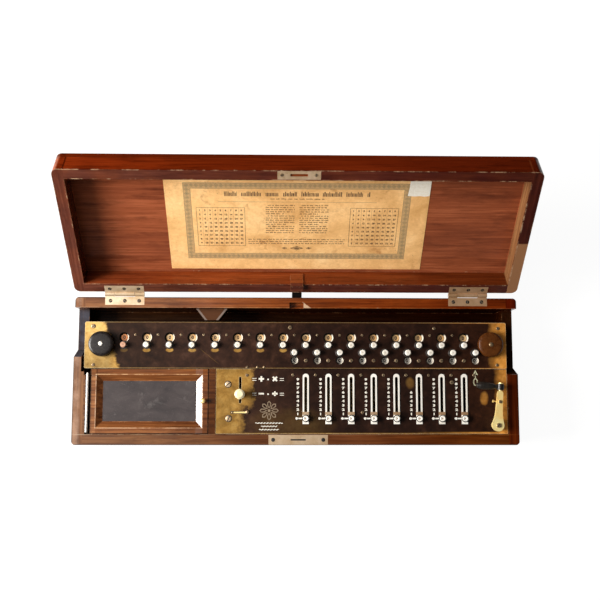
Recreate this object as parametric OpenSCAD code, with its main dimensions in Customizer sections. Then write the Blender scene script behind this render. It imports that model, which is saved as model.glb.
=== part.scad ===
// Stepped-drum calculating machine in a hinged wooden case, lid open as in use.
// Millimetres. Origin at the centre of the case's underside, +X right, +Y to the back, +Z up.

/* [Case] */
// outside width of the case
case_w = 590; // [560:1:620]
// outside depth of the case
case_d = 195; // [180:1:210]
// height of the case up to its rim
case_h = 70; // [68:1:74]
// thickness of the wooden walls
wall_t = 14; // [12:0.5:16]
// thickness of the floor board
floor_t = 8; // [6:0.5:9]
// rounding of the upright outer corners
corner_r = 5; // [3:0.5:8]
// drop of the low rear part of the side walls under the rim
low_drop = 25; // [24:0.5:26]

/* [Lid] */
// height of the lid
lid_h = 34; // [30:0.5:40]
// thickness of the lid panel
lid_panel_t = 7; // [5:0.5:8]
// angle at which the lid stands open
lid_open = 131; // [95:1:135]
// gap between the lid and the rim when shut
lid_gap = 0.4; // [0.3:0.1:1]
// distance of the hinge axis behind the case
hinge_back = 4; // [3.8:0.1:5]
// length of a hinge leaf
hinge_len = 52; // [48:1:60]
// width of the pasted instruction sheet
paper_w = 333; // [300:1:400]

// bare wood above and below the sheet
paper_margin = 4.5; // [2.5:0.5:20]

/* [Works] */
// room beside the sixteen dial columns for knobs and walls
end_room = 106.8; // [100:0.1:112]
// x of the first setting slot
first_slot = 12; // [8:0.5:16]
// number of setting slots
slot_count = 8; // [8:1:8]
// number of result dials
result_count = 16; // [16:1:16]
// number of turn counter dials
counter_count = 9; // [9:1:9]
// spacing of the digits along a slot
digit_step = 5.7; // [5.5:0.1:5.8]
// y of a slider that stands at nought
slider_y = -62.8; // [-64:0.1:-62]
// y of the result dial axes
result_y = 34; // [33:0.5:35]
// y of the counter dial axes
counter_y = 24.1; // [23.5:0.1:25]
// top of the fixed plate below the rim
plate_drop = 4; // [3:0.5:5]
// top of the carriage below the rim
carriage_drop = 2; // [1:0.5:2.5]
// depth of the carriage plate
carriage_d = 61.6; // [60:0.1:63]

/* [Crank] */
// crank axis from the inside of the right wall
crank_in = 16; // [14:0.5:18]
// y of the crank axis
crank_y = -71.5; // [-73:0.5:-70]
// length of the crank arm between centres
crank_len = 42; // [40:1:50]
// length of the folding grip
grip_len = 29; // [26:1:34]
// turn of the resting crank from square
crank_turn = 5; // [0:1:8]

/* [Fits] */
// radial play of shafts that turn in bores
run_fit = 0.05; // [0.02:0.01:0.1]
// free gap between pieces that pass each other
free_gap = 0.5; // [0.3:0.1:1]
// gap between facing gear cones
mesh_gap = 0.35; // [0.3:0.05:0.6]

// glue line between wooden boards
seam = 0.05; // [0.02:0.01:0.1]

/* [Hidden] */
$fn = 48;
half_w = case_w / 2;
half_d = case_d / 2;
in_x = half_w - wall_t;
in_y = half_d - wall_t;
pitch = (case_w - end_room) / result_count;
// the works keep their distance from the front board
works_y = 83.5 - in_y;
plate_z = case_h - plate_drop;
carriage_z = case_h - carriage_drop;
paper_h = 2 * (in_y - paper_margin);
hinge_x = half_w - 65.5;
hinge_half = hinge_len / 2;
knuckle_mid = hinge_half / 2 + 6.75;
knuckle_half = hinge_half / 2 - 6.75;
low_z = case_h - low_drop;
hinge_y = half_d + hinge_back;
hinge_z = case_h + lid_gap / 2;
lid_z = case_h + lid_gap;
plate_t = 2.5;
plate_under = plate_z - plate_t;
plate_left = -107;
crank_x = in_x - crank_in;
carriage_t = 3;
carriage_under = carriage_z - carriage_t;
carriage_front = 3;
plate_back = carriage_front - 0.6;
carriage_back = carriage_front + carriage_d;
carriage_left = -in_x - 0.5;
carriage_right = in_x - 0.4;
result_x = first_slot - 8 * pitch;
counter_x = first_slot - pitch / 2;
result_win = 9.9;
counter_win = 10.3;
slide_travel = 9 * digit_step;
drum_z = 23;
drum_r = 9.6;
drum_tip = 11.6;
shaft_z = 41;
shaft_side = 4;
pinion_r = 5.6;
bevel_r = 6.5;
bevel_face = 2;
drum_front = slider_y + 0.4 * digit_step;
drum_back = slider_y + 9.6 * digit_step;
bar_y = [-82.5, -64.4, -6.5, 51];
arbor_r = 2;
dial_gear_z = 47;
dial_gear_r = 5.5;
lower_z = 52;
rod_y = 57;
rod_z = 52;
rod_r = 4;
sleeve_r = 6;
sleeve_left = -in_x + 19;
sleeve_len = 2 * in_x - 8 * pitch - 40.4;
arm_z = plate_z + 8.7;
arm_t = 5;
pin_z = arm_z + arm_t / 2;
pin_r = 2;
knob_left = -in_x + 22.4;
knob_right = in_x - 22.8;
knob_r = 16.8;
knob_y = 35;
mode_x = -75;
mode_y = -31;
frame_left = -in_x + 8.8;
frame_right = -117.2;
frame_front = -83;
frame_back = carriage_front - 0.6;
frame_z = case_h - 12;
frame_t = 9;
rebate_left = frame_left + 12;
rebate_right = frame_right - 12.3;
slate_mid_x = (frame_left + frame_right) / 2 - 0.2;
pull_x = frame_right - 6.3;
lining_t = 2.4;
slate_axis_x = frame_left + 2.5;
slate_axis_z = frame_z + 5.5;

bracket_d = in_y - seam - works_y - rod_y - sleeve_r - 5.2;
// point in side view, from the top of the case back, just short of the open lid's back face at the distance s
function lid_back(s) = [hinge_back - (hinge_back - 0.34) * cos(lid_open) + s * sin(lid_open),
    hinge_z + (hinge_back - 0.34) * sin(lid_open) + s * cos(lid_open)];
function slot_x(k) = first_slot + k * pitch;
function dial_x(k) = result_x + k * pitch;
function count_x(k) = counter_x + k * pitch;
last_slot = slot_x(slot_count - 1);
function pad(k) = k < 10 ? str("0", k) : str(k);

results = [for (k = [1:result_count]) str("result_dial_", pad(k))];
counters = [for (k = [1:counter_count]) str("counter_dial_", k)];
sliders = [for (k = [1:slot_count]) str("setting_slider_", k)];
drums = [for (k = [1:slot_count]) str("stepped_drum_", k)];

// flat outline of the case with rounded corners
module outline(r) {
    square([case_w - 2 * r, case_d], center = true);
    square([case_w, case_d - 2 * r], center = true);
    for (sx = [-1, 1])
        for (sy = [-1, 1])
            translate([sx * (half_w - r), sy * (half_d - r)])
                circle(r);
}

// rectangle from a to b with rounded corners
module rounded(a, b, r) {
    translate([a.x + r, a.y])
        square([b.x - a.x - 2 * r, b.y - a.y]);
    translate([a.x, a.y + r])
        square([b.x - a.x, b.y - a.y - 2 * r]);
    for (x = [a.x + r, b.x - r])
        for (y = [a.y + r, b.y - r])
            translate([x, y])
                circle(r);
}

// box given by its two corners
module span(a, b) {
    translate(a)
        cube(b - a);
}

// upright cylinder between two heights
module post(x, y, z0, z1, r) {
    translate([x, y, z0])
        cylinder(r = r, h = z1 - z0);
}

// cylinder along X
module rod_along_x(x0, x1, y, z, r) {
    translate([x0, y, z])
        rotate([0, 90, 0])
            cylinder(r = r, h = x1 - x0);
}

// cylinder along Y
module rod_along_y(x, y0, y1, z, r) {
    translate([x, y0, z])
        rotate([-90, 0, 0])
            cylinder(r = r, h = y1 - y0);
}

// bevel wheel on Z, its wide end at z 0 and its narrow end up
module bevel(r, face, teeth) {
    difference() {
        cylinder(r1 = r, r2 = r - face, h = face);
        for (i = [0:teeth - 1])
            rotate([0, 0, i * 360 / teeth])
                translate([r - face - 0.9, -0.5, face / 2 - 0.2])
                    cube([face + 2, 1, face]);
    }
}

// the lid's rest pose
module opened() {
    translate([0, hinge_y, hinge_z])
        rotate([-lid_open, 0, 0])
            translate([0, -hinge_y, -hinge_z])
                children();
}

// place of the works behind the front board
module works() {
    translate([0, works_y, 0])
        children();
}

// slope at the end of a high side wall, seen along X
module wall_step(y_top, y_low, x0, x1) {
    translate([x0, 0, 0])
        rotate([90, 0, 90])
            linear_extrude(x1 - x0)
                polygon([[y_top, case_h + 1], [y_top, case_h], [y_low, low_z], [y_low, low_z - 1],
                    [half_d, low_z - 1], [half_d, case_h + 1]]);
}

module case_boards() {
    color("#5a2f1c") {
        // floor
        linear_extrude(floor_t)
            outline(corner_r);
        // front board
        difference() {
            intersection() {
                linear_extrude(case_h)
                    outline(corner_r);
                span([-half_w, -half_d, floor_t + seam], [half_w, -in_y, case_h]);
            }
            lock_seat(0);
            rod_along_y(slate_axis_x, -in_y - 4, -in_y + 1, slate_axis_z, 1.5 + run_fit);
        }
        // back board
        difference() {
            intersection() {
                linear_extrude(case_h)
                    outline(corner_r);
                span([-half_w, in_y, floor_t + seam], [half_w, half_d, case_h]);
            }
            for (s = [-1, 1])
                hinge_seat(s);
            span([-10, in_y - 1, case_h - 7], [9, in_y + 7.5, case_h + 1]);
        }
        // left side, a low board and a short upper board
        span([-half_w, -in_y + seam, floor_t + seam], [-in_x, in_y - seam, low_z - seam]);
        difference() {
            span([-half_w, -in_y + seam, low_z], [-in_x, in_y - seam, case_h]);
            wall_step(works_y + 17.6, works_y + 28.4, -half_w - 1, -in_x + 1);
            span([-in_x - 4, works_y - 1.5, low_z - 1], [-in_x + 1, half_d, case_h + 1]);
        }
        // right side, a low board and a short upper board
        span([in_x, -in_y + seam, floor_t + seam], [half_w, in_y - seam, low_z - seam]);
        difference() {
            span([in_x, -in_y + seam, low_z], [half_w, in_y - seam, case_h]);
            wall_step(works_y - 4.5, works_y + 4.8, in_x - 1, half_w + 1);
        }
        // divider beside the works
        span([-116.5, -in_y + seam, floor_t + seam], [-107.5, works_y + plate_back, carriage_z - 1.5]);
        // cross board behind the slate box, with the lug of its hinge rod
        difference() {
            union() {
                span([-in_x + seam, works_y - 6, floor_t + seam],
                    [-116.5 - seam, works_y - 1.5, frame_z - free_gap]);
                span([frame_left - 0.5, works_y - 6, floor_t + seam],
                    [frame_left + 6.5, works_y - 2, slate_axis_z + 2.7]);
            }
            rod_along_y(slate_axis_x, works_y - 7, works_y, slate_axis_z, 1.5 + run_fit);
        }
        // lining of the left side beside the slate, and the ledge for the slate pencil
        span([-in_x + seam, -in_y + seam, floor_t + seam], [-in_x + lining_t, works_y - 6 - seam, case_h]);
        span([-in_x + lining_t + seam, -in_y + seam, floor_t + seam],
            [frame_left - 2.4, works_y - 6 - seam, frame_z + 8]);
        // bracket on the back board
        translate([-114.7, in_y - seam, 30])
            linear_extrude(26)
                polygon([[-21, 0], [21, 0], [9, -bracket_d], [-9, -bracket_d]]);
    }
}

// recess of the lock plate in the front board, grown by g
module lock_seat(g) {
    span([-37 - g, -half_d + 0.5 - g, case_h - 1.5], [41 + g, -half_d + 13.2 + g, case_h + 1]);
}

// recess of a case hinge leaf in the back board
module hinge_seat(s) {
    span([s * hinge_x - hinge_half, half_d - 10.5, case_h - 1.2],
        [s * hinge_x + hinge_half, half_d + 1, case_h + 1]);
}

module case_fittings() {
    color("#c8ab62") {
        for (s = [-1, 1])
            translate([s * hinge_x, 0, 0])
                case_hinge();
        // lock plate with its slot
        difference() {
            lock_seat(0);
            span([-60, -half_d, case_h], [60, -60, case_h + 3]);
            span([-8, -half_d + 5.8, case_h - 3], [12, -half_d + 7.8, case_h + 3]);
        }
        // hinge rod of the slate frame
        rod_along_y(slate_axis_x, -in_y - 3.5, works_y - 2.2, slate_axis_z, 1.5);
        // stop on the back board that the open lid leans on
        translate([-6.5, half_d, 0])
            rotate([90, 0, 90])
                linear_extrude(13)
                    polygon([[0, case_h - 20], [0, case_h - 8], lid_back(6.2), lid_back(16.2)]);
    }
}

// leaf let into the rim, outer knuckles and pin
module case_hinge() {
    difference() {
        span([-hinge_half, half_d - 10.5, case_h - 1.2], [hinge_half, hinge_y - 3.5, case_h]);
        for (x = [-19, 0, 19])
            post(x, half_d - 5, case_h - 0.6, case_h + 1, 2.6);
    }
    for (s = [-1, 1]) {
        rod_along_x(s * knuckle_mid - knuckle_half, s * knuckle_mid + knuckle_half, hinge_y, hinge_z, 3);
        span([s * knuckle_mid - knuckle_half, hinge_y - 4, case_h - 1.2],
            [s * knuckle_mid + knuckle_half, hinge_y, case_h]);
    }
    rod_along_x(-20, 20, hinge_y, hinge_z, 1.2);
}

module lid_boards() {
    color("#6b3a20")
        opened() {
            // panel
            translate([0, 0, lid_z + lid_h - lid_panel_t])
                linear_extrude(lid_panel_t)
                    outline(8);
            // long rails
            difference() {
                intersection() {
                    lid_body();
                    span([-half_w, -half_d, case_h], [half_w, -in_y, 200]);
                }
                span([-26, -half_d + 0.5, lid_z - 1], [26, -half_d + 12.7, lid_z + 1.2]);
            }
            difference() {
                intersection() {
                    lid_body();
                    span([-half_w, in_y, case_h], [half_w, half_d, 200]);
                }
                for (s = [-1, 1])
                    span([s * hinge_x - hinge_half, half_d - 10.5, lid_z - 1],
                        [s * hinge_x + hinge_half, half_d + 1, lid_z + 1.2]);
            }
            // side rails
            for (s = [-1, 1])
                intersection() {
                    lid_body();
                    span([s < 0 ? -half_w : in_x, seam - in_y, case_h],
                        [s < 0 ? -in_x : half_w, in_y - seam, 200]);
                }
            // locating tongue that drops into the notch of the back board
            span([-9, in_y - 1.5, lid_z - 5], [8, in_y + 6.5, lid_z - seam]);
            span([-9, in_y - 1.5, lid_z - 1], [8, in_y - seam, lid_z + 20]);
        }
}

// rails of the lid as one block
module lid_body() {
    translate([0, 0, lid_z])
        linear_extrude(lid_h - lid_panel_t - seam)
            outline(8);
}

module lid_paper() {
    color("#d9b878")
        opened()
            translate([-1, 0, lid_z + lid_h - lid_panel_t - 0.3])
                linear_extrude(0.3)
                    square([paper_w, paper_h], center = true);
}

module lid_fittings() {
    color("#c8ab62")
        opened() {
            for (s = [-1, 1])
                translate([s * hinge_x, 0, 0])
                    lid_hinge();
            // strike plate
            difference() {
                span([-26, -half_d + 0.5, lid_z], [26, -half_d + 12.7, lid_z + 1.2]);
                span([-10.5, -half_d + 4.6, lid_z - 1], [10.5, -half_d + 8.6, lid_z + 2]);
            }
        }
}

// leaf let into the lid rail and its middle knuckle
module lid_hinge() {
    difference() {
        union() {
            span([-hinge_half, half_d - 10.5, lid_z], [hinge_half, hinge_y - 3.5, lid_z + 1.2]);
            rod_along_x(-13, 13, hinge_y, hinge_z, 3);
            span([-13, hinge_y - 4, lid_z], [13, hinge_y, lid_z + 1.2]);
        }
        rod_along_x(-14, 14, hinge_y, hinge_z, 1.2 + run_fit);
        for (x = [-19, 0, 19])
            post(x, half_d - 5, lid_z - 1, lid_z + 0.6, 2.6);
    }
}

module machine_plate() {
    color("#2a1c14")
        difference() {
            span([plate_left, frame_front, plate_under], [carriage_right, plate_back, plate_z]);
            for (k = [0:slot_count - 1])
                slot_cut(slot_x(k), slider_y - 3.6, slider_y + slide_travel + 3.6, 2);
            slot_cut(mode_x, -43, -8, 1.6);
            post(crank_x, crank_y, 0, 100, 4 + run_fit);
        }
}

// upright slot with round ends
module slot_cut(x, y0, y1, r) {
    translate([x, 0, plate_under - 1])
        linear_extrude(plate_t + 4) {
            translate([-r, y0 + r])
                square([2 * r, y1 - y0 - 2 * r]);
            translate([0, y0 + r])
                circle(r);
            translate([0, y1 - r])
                circle(r);
        }
}

module slot_frames() {
    color("#d8d4c8")
        for (k = [0:slot_count - 1])
            difference() {
                translate([slot_x(k), 0, plate_z])
                    linear_extrude(0.8) {
                        translate([-4.1, slider_y - 7.4])
                            square([8.2, slide_travel + 11]);
                        translate([0, slider_y + slide_travel + 3.6])
                            circle(4.1);
                    }
                slot_cut(slot_x(k), slider_y - 3.6, slider_y + slide_travel + 3.6, 2);
            }
}

module chassis() {
    color("#8c7a4c") {
        // front bar
        difference() {
            span([plate_left + 7, bar_y[0], floor_t], [in_x - 5, bar_y[0] + 4, plate_under]);
            shaft_bores();
        }
        // low bar at the front of the drums
        difference() {
            span([first_slot - 16, bar_y[1], floor_t], [last_slot + 16.6, bar_y[1] + 3, drum_z + 8]);
            drum_bores();
        }
        // rear bar
        difference() {
            span([plate_left + 7, bar_y[2], floor_t], [in_x - 5, bar_y[2] + 4, plate_under]);
            shaft_bores();
            drum_bores();
        }
        // back bar under the carriage
        difference() {
            span([plate_left + 7, bar_y[3], floor_t], [in_x - 5, bar_y[3] + 3, 44.5]);
            shaft_bores();
        }
        // bearings of the cross shaft
        for (x = [first_slot - 26, last_slot + 22.6])
            difference() {
                span([x, bar_y[0] + 4, floor_t], [x + 4, crank_y + 4, drum_z + 6]);
                rod_along_x(x - 1, x + 5, crank_y, drum_z, 3 + run_fit);
            }
        // square shafts
        for (k = [0:slot_count - 1])
            translate([slot_x(k), 0, shaft_z]) {
                span([-2, bar_y[0] + 4.5, -2], [2, bar_y[3] - 0.5, 2]);
                rod_along_y(0, bar_y[0] + 0.5, bar_y[0] + 5, 0, 2);
                rod_along_y(0, bar_y[3] - 1, bar_y[3] + 2.5, 0, 2);
            }
        // crank bearing
        difference() {
            union() {
                post(crank_x, crank_y, 42, plate_under, 6.5);
                span([crank_x - 4.5, bar_y[0] + 3, 42], [crank_x + 4.5, crank_y, plate_under]);
            }
            post(crank_x, crank_y, 40, 70, 4 + run_fit);
        }
        // rail of the carriage and its end brackets
        rod_along_x(-in_x + 11, in_x - 11, rod_y, rod_z, rod_r);
        for (s = [-1, 1])
            difference() {
                span([s * (in_x - 9.5) - 3.5, rod_y - 7, floor_t], [s * (in_x - 9.5) + 3.5, rod_y + 7, rod_z]);
                rod_along_x(s * (in_x - 9.5) - 5, s * (in_x - 9.5) + 5, rod_y, rod_z, rod_r);
            }
    }
}

// round holes for the journals of the square shafts
module shaft_bores() {
    for (k = [0:slot_count - 1])
        rod_along_y(slot_x(k), -90, 70, shaft_z, shaft_side * 0.72);
}

// holes for the drum shafts
module drum_bores() {
    for (k = [0:slot_count - 1])
        rod_along_y(slot_x(k), -70, 0, drum_z, 2.5 + run_fit);
}

module slate_frame() {
    color("#4d2c1e") {
        difference() {
            span([frame_left, frame_front, frame_z], [frame_right, frame_back, frame_z + frame_t]);
            // bevelled window
            translate([slate_mid_x, -40.3, frame_z + 4.5])
                frame_window(frame_right - frame_left - 31.8, 53, 8.5, frame_t - 4.5);
            // rebate of the slate
            span([rebate_left, -70, frame_z - 1], [rebate_right, -10.5, frame_z + 4.5]);
            // room for the hinge lug and the hinge rod
            span([frame_left - 1, -7, frame_z - 1], [frame_left + 8.2, frame_back + 1, frame_z + frame_t + 1]);
            rod_along_y(slate_axis_x, frame_front - 1, frame_back, slate_axis_z, 1.5 + run_fit);
            post(pull_x, -40, frame_z + 2, frame_z + frame_t + 1, 1.6 + run_fit);
        }
        // pull knob
        post(pull_x, -40, frame_z + 2.5, frame_z + frame_t + 4, 1.6);
        post(pull_x, -40, frame_z + frame_t + 3, frame_z + frame_t + 7, 3.3);
    }
}

// sloping slate window, the common part of two crossed prisms
module frame_window(w, d, bevel_w, h) {
    intersection() {
        translate([0, d / 2 + bevel_w, 0])
            rotate([90, 0, 0])
                linear_extrude(d + 2 * bevel_w)
                    bevel_side(w / 2, bevel_w, h);
        translate([-w / 2 - bevel_w, 0, 0])
            rotate([90, 0, 90])
                linear_extrude(w + 2 * bevel_w)
                    bevel_side(d / 2, bevel_w, h);
    }
}

// side view of a window of half width a that opens upward by b over the height h
module bevel_side(a, b, h) {
    polygon([[-a, -0.1], [a, -0.1], [a, 0], [a + b, h + 0.1], [-a - b, h + 0.1], [-a, 0]]);
}

module slate_panel() {
    color("#565452")
        span([rebate_left + 0.1, -69.9, frame_z], [rebate_right - 0.1, -10.6, frame_z + 4.5]);
}

// one edge of the crank arm, hollowed where it meets the hub
function arm_side(s) = [for (q = s > 0 ? [[7.4, 2.4], [6.2, 7], [5, 13], [4.4, 20], [4.1, 28], [3.7, crank_len]]
    : [[3.7, crank_len], [4.1, 28], [4.4, 20], [5, 13], [6.2, 7], [7.4, 2.4]]) [s * q.x, q.y]];

// turns the crank to its rest place about its axis
module crank_rest() {
    translate([crank_x, crank_y, 0])
        rotate([0, 0, -crank_turn])
            translate([-crank_x, -crank_y, 0])
                children();
}

module crank_arm() {
    color("#c79d48") {
        // tapered arm
        translate([crank_x, crank_y, arm_z])
            linear_extrude(arm_t) {
                circle(7.8);
                translate([0, crank_len])
                    circle(3.7);
                polygon(concat(arm_side(1), arm_side(-1)));
            }
        // shaft, collar and bevel wheel
        post(crank_x, crank_y, drum_z + bevel_r + mesh_gap, arm_z, 4);
        post(crank_x, crank_y, plate_z + free_gap, arm_z, 6.5);
        translate([crank_x, crank_y, drum_z + bevel_r + mesh_gap])
            rotate([180, 0, 0])
                bevel(bevel_r, bevel_face, 12);
        // screw head
        post(crank_x, crank_y, arm_z + arm_t, arm_z + arm_t + 1.2, 3);
        // pin of the grip
        rod_along_y(crank_x, crank_y + crank_len, crank_y + crank_len + 14, pin_z, pin_r);
        rod_along_y(crank_x, crank_y + crank_len + 12.6, crank_y + crank_len + 14, pin_z, 3.2);
        // stud on the arm and its side pin
        post(crank_x, crank_y + 31, arm_z + arm_t, arm_z + arm_t + 1, 2.2);
        rod_along_x(crank_x - 8.5, crank_x, crank_y + 31, pin_z, 1);
        rod_along_x(crank_x - 9.5, crank_x - 7.5, crank_y + 31, pin_z, 1.6);
    }
}

module crank_handle() {
    color("#15110f")
        difference() {
            union() {
                rod_along_y(crank_x, crank_y + crank_len + 4.3, crank_y + crank_len + 12.3, pin_z, 4.6);
                translate([crank_x - 3, crank_y + crank_len + 8.3, pin_z])
                    rotate([0, -90, 0])
                        grip();
            }
            rod_along_y(crank_x, crank_y + crank_len, crank_y + crank_len + 15, pin_z, pin_r + run_fit);
        }
}

// barrel of the grip along Z
module grip() {
    rotate_extrude()
        polygon([[0, 0], [3, 0], [3, 4], [4.4, 8], [5.2, 14], [5.4, 20], [5, grip_len - 5],
            [3.6, grip_len - 1], [2, grip_len], [0, grip_len]]);
}

module cross_shaft() {
    color("#9a9a98") {
        rod_along_x(first_slot - 28, crank_x - bevel_r - mesh_gap, crank_y, drum_z, 3);
        for (k = [0:slot_count - 1])
            translate([slot_x(k) - bevel_r - mesh_gap, crank_y, drum_z])
                rotate([0, 90, 0])
                    bevel(bevel_r, bevel_face, 12);
        translate([crank_x - bevel_r - mesh_gap, crank_y, drum_z])
            rotate([0, 90, 0])
                bevel(bevel_r, bevel_face, 12);
    }
}

module mode_lever() {
    color("#e9e0c8") {
        // knob
        translate([mode_x, mode_y, plate_z + 2])
            rotate_extrude()
                polygon([[0, 0], [3.2, 0], [3.2, 3], [6, 5], [7, 8], [6.4, 10.5], [4, 12], [0, 12]]);
        // stem and shoe under the plate
        post(mode_x, mode_y, plate_under - 3, plate_z + 2, 1.2);
        span([mode_x - 5, mode_y - 6, plate_under - 4], [mode_x + 5, mode_y + 3.5, plate_under - free_gap]);
        post(mode_x, mode_y, 47, plate_under - 4, 2);
    }
}

module reverser_bar() {
    color("#a89868") {
        // bar with a yoke beside every column
        span([mode_x - 5, 22, 32], [last_slot + 18.6, 26, 35]);
        for (k = [0:slot_count - 1])
            translate([slot_x(k), 0, 0]) {
                difference() {
                    union() {
                        span([-7, 22.5, 35], [7, 25.5, shaft_z + 4]);
                        // sleeve with the two facing bevel wheels
                        rod_along_y(0, result_y - 15.5, result_y + 5.5, shaft_z, 3.8);
                        translate([0, result_y - 15.5, shaft_z])
                            rotate([-90, 0, 0])
                                bevel(dial_gear_r, bevel_face, 10);
                        translate([0, result_y + 5.5, shaft_z])
                            rotate([90, 0, 0])
                                bevel(dial_gear_r, bevel_face, 10);
                    }
                    rod_along_y(0, result_y - 20, result_y + 20, shaft_z, 3.2);
                }
            }
    }
}

module carriage_plate() {
    color("#2a1c14") {
        // top plate with windows and bores
        difference() {
            translate([0, 0, carriage_under])
                linear_extrude(carriage_t)
                    rounded([carriage_left, carriage_front], [carriage_right, carriage_back], 2);
            for (k = [0:result_count - 1]) {
                post(dial_x(k), result_y, 0, 100, arbor_r + run_fit);
                window(dial_x(k), result_y + result_win, 4.6, 6.6);
            }
            for (k = [0:counter_count - 1]) {
                post(count_x(k), counter_y, 0, 100, arbor_r + run_fit);
                window(count_x(k), counter_y - counter_win, 3.8, 4.8);
            }
            for (x = [knob_left, knob_right])
                post(x, knob_y, 0, 100, 3 + run_fit);
        }
        // lower bearing plate
        difference() {
            span([knob_left + 10.6, 9, lower_z], [knob_right - 4, 46, lower_z + 2]);
            for (k = [0:result_count - 1])
                post(dial_x(k), result_y, 0, 100, arbor_r + run_fit);
            for (k = [0:counter_count - 1])
                post(count_x(k), counter_y, 0, 100, arbor_r + run_fit);
        }
        // distance pillars
        for (x = [knob_left + 12.6, knob_right - 6])
            for (y = [13, 42])
                post(x, y, lower_z + 2, carriage_under, 2);
        // lugs around the runner
        for (x = [sleeve_left + 4, sleeve_left + 132, sleeve_left + sleeve_len - 14])
            difference() {
                span([x, rod_y - 7, rod_z - 7.2], [x + 8, carriage_back, carriage_under]);
                rod_along_x(x - 1, x + 9, rod_y, rod_z, sleeve_r + run_fit);
            }
    }
}

// countersunk window
module window(x, y, r_low, r_top) {
    translate([x, y, carriage_under])
        cylinder(r1 = r_low, r2 = r_top, h = carriage_t);
    post(x, y, carriage_under - 1, carriage_z + 1, r_low);
}

module carriage_runner() {
    color("#b0a488")
        difference() {
            rod_along_x(sleeve_left, sleeve_left + sleeve_len, rod_y, rod_z, sleeve_r);
            rod_along_x(sleeve_left - 1, sleeve_left + sleeve_len + 1, rod_y, rod_z, rod_r + run_fit);
        }
}

// clearing knob with its stem
module clear_knob(x) {
    color("#1d1a18")
        translate([x, knob_y, 0])
            rotate_extrude()
                polygon([[0, 54], [3, 54], [3, carriage_z + free_gap],
                    [knob_r - 1, carriage_z + free_gap], [knob_r, carriage_z + 1.5],
                    [knob_r, carriage_z + 8], [knob_r - 1, carriage_z + 9.5], [6, carriage_z + 10],
                        [0, carriage_z + 10]]);
}

module clear_knob_left() {
    clear_knob(knob_left);
}

module clear_knob_right() {
    clear_knob(knob_right);
}

// number dial: bevel wheel, arbor, disc and finger peg turned about Z
module dial(disc_top, disc_r) {
    translate([0, 0, dial_gear_z])
        bevel(dial_gear_r, bevel_face, 10);
    rotate_extrude()
        polygon([[0, dial_gear_z], [arbor_r, dial_gear_z], [arbor_r, disc_top - 1.5], [disc_r, disc_top - 1.5],
            [disc_r, disc_top], [arbor_r, disc_top], [arbor_r, carriage_z + 0.4], [2.6, carriage_z + 0.4],
            [2.6, carriage_z + 2], [3.9, carriage_z + 3], [3.9, carriage_z + 6],
                [3.1, carriage_z + 7], [0, carriage_z + 7]]);
}

module result_dial(k) {
    color("#e0c890")
        translate([dial_x(k), result_y, 0])
            dial(carriage_under - 0.4, pitch / 2 - free_gap);
}

module counter_dial(k) {
    color("#e0c890")
        translate([count_x(k), counter_y, 0])
            dial(carriage_under - 2.4, pitch / 2 - 0.9);
}

module setting_slider(k) {
    color("#d8ccb0")
        translate([slot_x(k), slider_y, 0]) {
            // button, stem and pointer
            post(0, 0, plate_z + 1.1, plate_z + 5, 4.2);
            span([-1.7, -1.7, plate_under - 4], [1.7, 1.7, plate_z + 2]);
            span([-12, -0.9, plate_z + 1.1], [0, 0.9, plate_z + 2.9]);
            post(-12, 0, plate_z + 1.1, plate_z + 3.4, 1.6);
            // fork that holds the pinion
            span([-4, -4, plate_under - 6], [4, 4, plate_under - free_gap]);
            for (s = [-1, 1])
                difference() {
                    span([-4, s * 3.1 - 0.9, shaft_z - 3.8], [4, s * 3.1 + 0.9, plate_under - 5]);
                    rod_along_y(0, s * 3.1 - 2, s * 3.1 + 2, shaft_z, 3.1);
                }
            // pinion
            difference() {
                rod_along_y(0, -2.1, 2.1, shaft_z, pinion_r);
                span([-2.2, -3, shaft_z - 2.2], [2.2, 3, shaft_z + 2.2]);
                for (i = [0:9])
                    translate([0, 0, shaft_z])
                        rotate([0, i * 36 + 18, 0])
                            span([pinion_r - 1.4, -3, -0.9], [pinion_r + 1, 3, 0.9]);
            }
        }
}

module stepped_drum(k) {
    color("#b4aa90")
        translate([slot_x(k), 0, drum_z]) {
            // drum and its shaft
            rod_along_y(0, drum_front, drum_back, 0, drum_r);
            rod_along_y(0, crank_y + bevel_r + mesh_gap, bar_y[2] + 3.5, 0, 2.5);
            // nine teeth of growing length, turned away from the pinion at rest
            for (j = [1:9])
                rotate([0, 90 + (j - 5) * 20, 0])
                    span([drum_r - 0.6, slider_y + (j - 0.5) * digit_step, -1], [drum_tip, drum_back - 0.5, 1]);
            // bevel wheel
            translate([0, crank_y + bevel_r + mesh_gap, 0])
                rotate([90, 0, 0])
                    bevel(bevel_r, bevel_face, 12);
        }
}

case_boards();
case_fittings();
works() machine_plate();
works() slot_frames();
works() chassis();
lid_boards();
lid_paper();
lid_fittings();
works() slate_frame();
works() slate_panel();
works() crank_rest() crank_arm();
works() crank_rest() crank_handle();
works() cross_shaft();
works() mode_lever();
works() reverser_bar();
works() carriage_plate();
works() carriage_runner();
works() clear_knob_left();
works() clear_knob_right();
for (k = [0:result_count - 1])
    works() result_dial(k);
for (k = [0:counter_count - 1])
    works() counter_dial(k);
for (k = [0:slot_count - 1])
    works() setting_slider(k);
for (k = [0:slot_count - 1])
    works() stepped_drum(k);
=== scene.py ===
import math
import random

import bmesh
import bpy
from mathutils import Matrix, Vector


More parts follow.
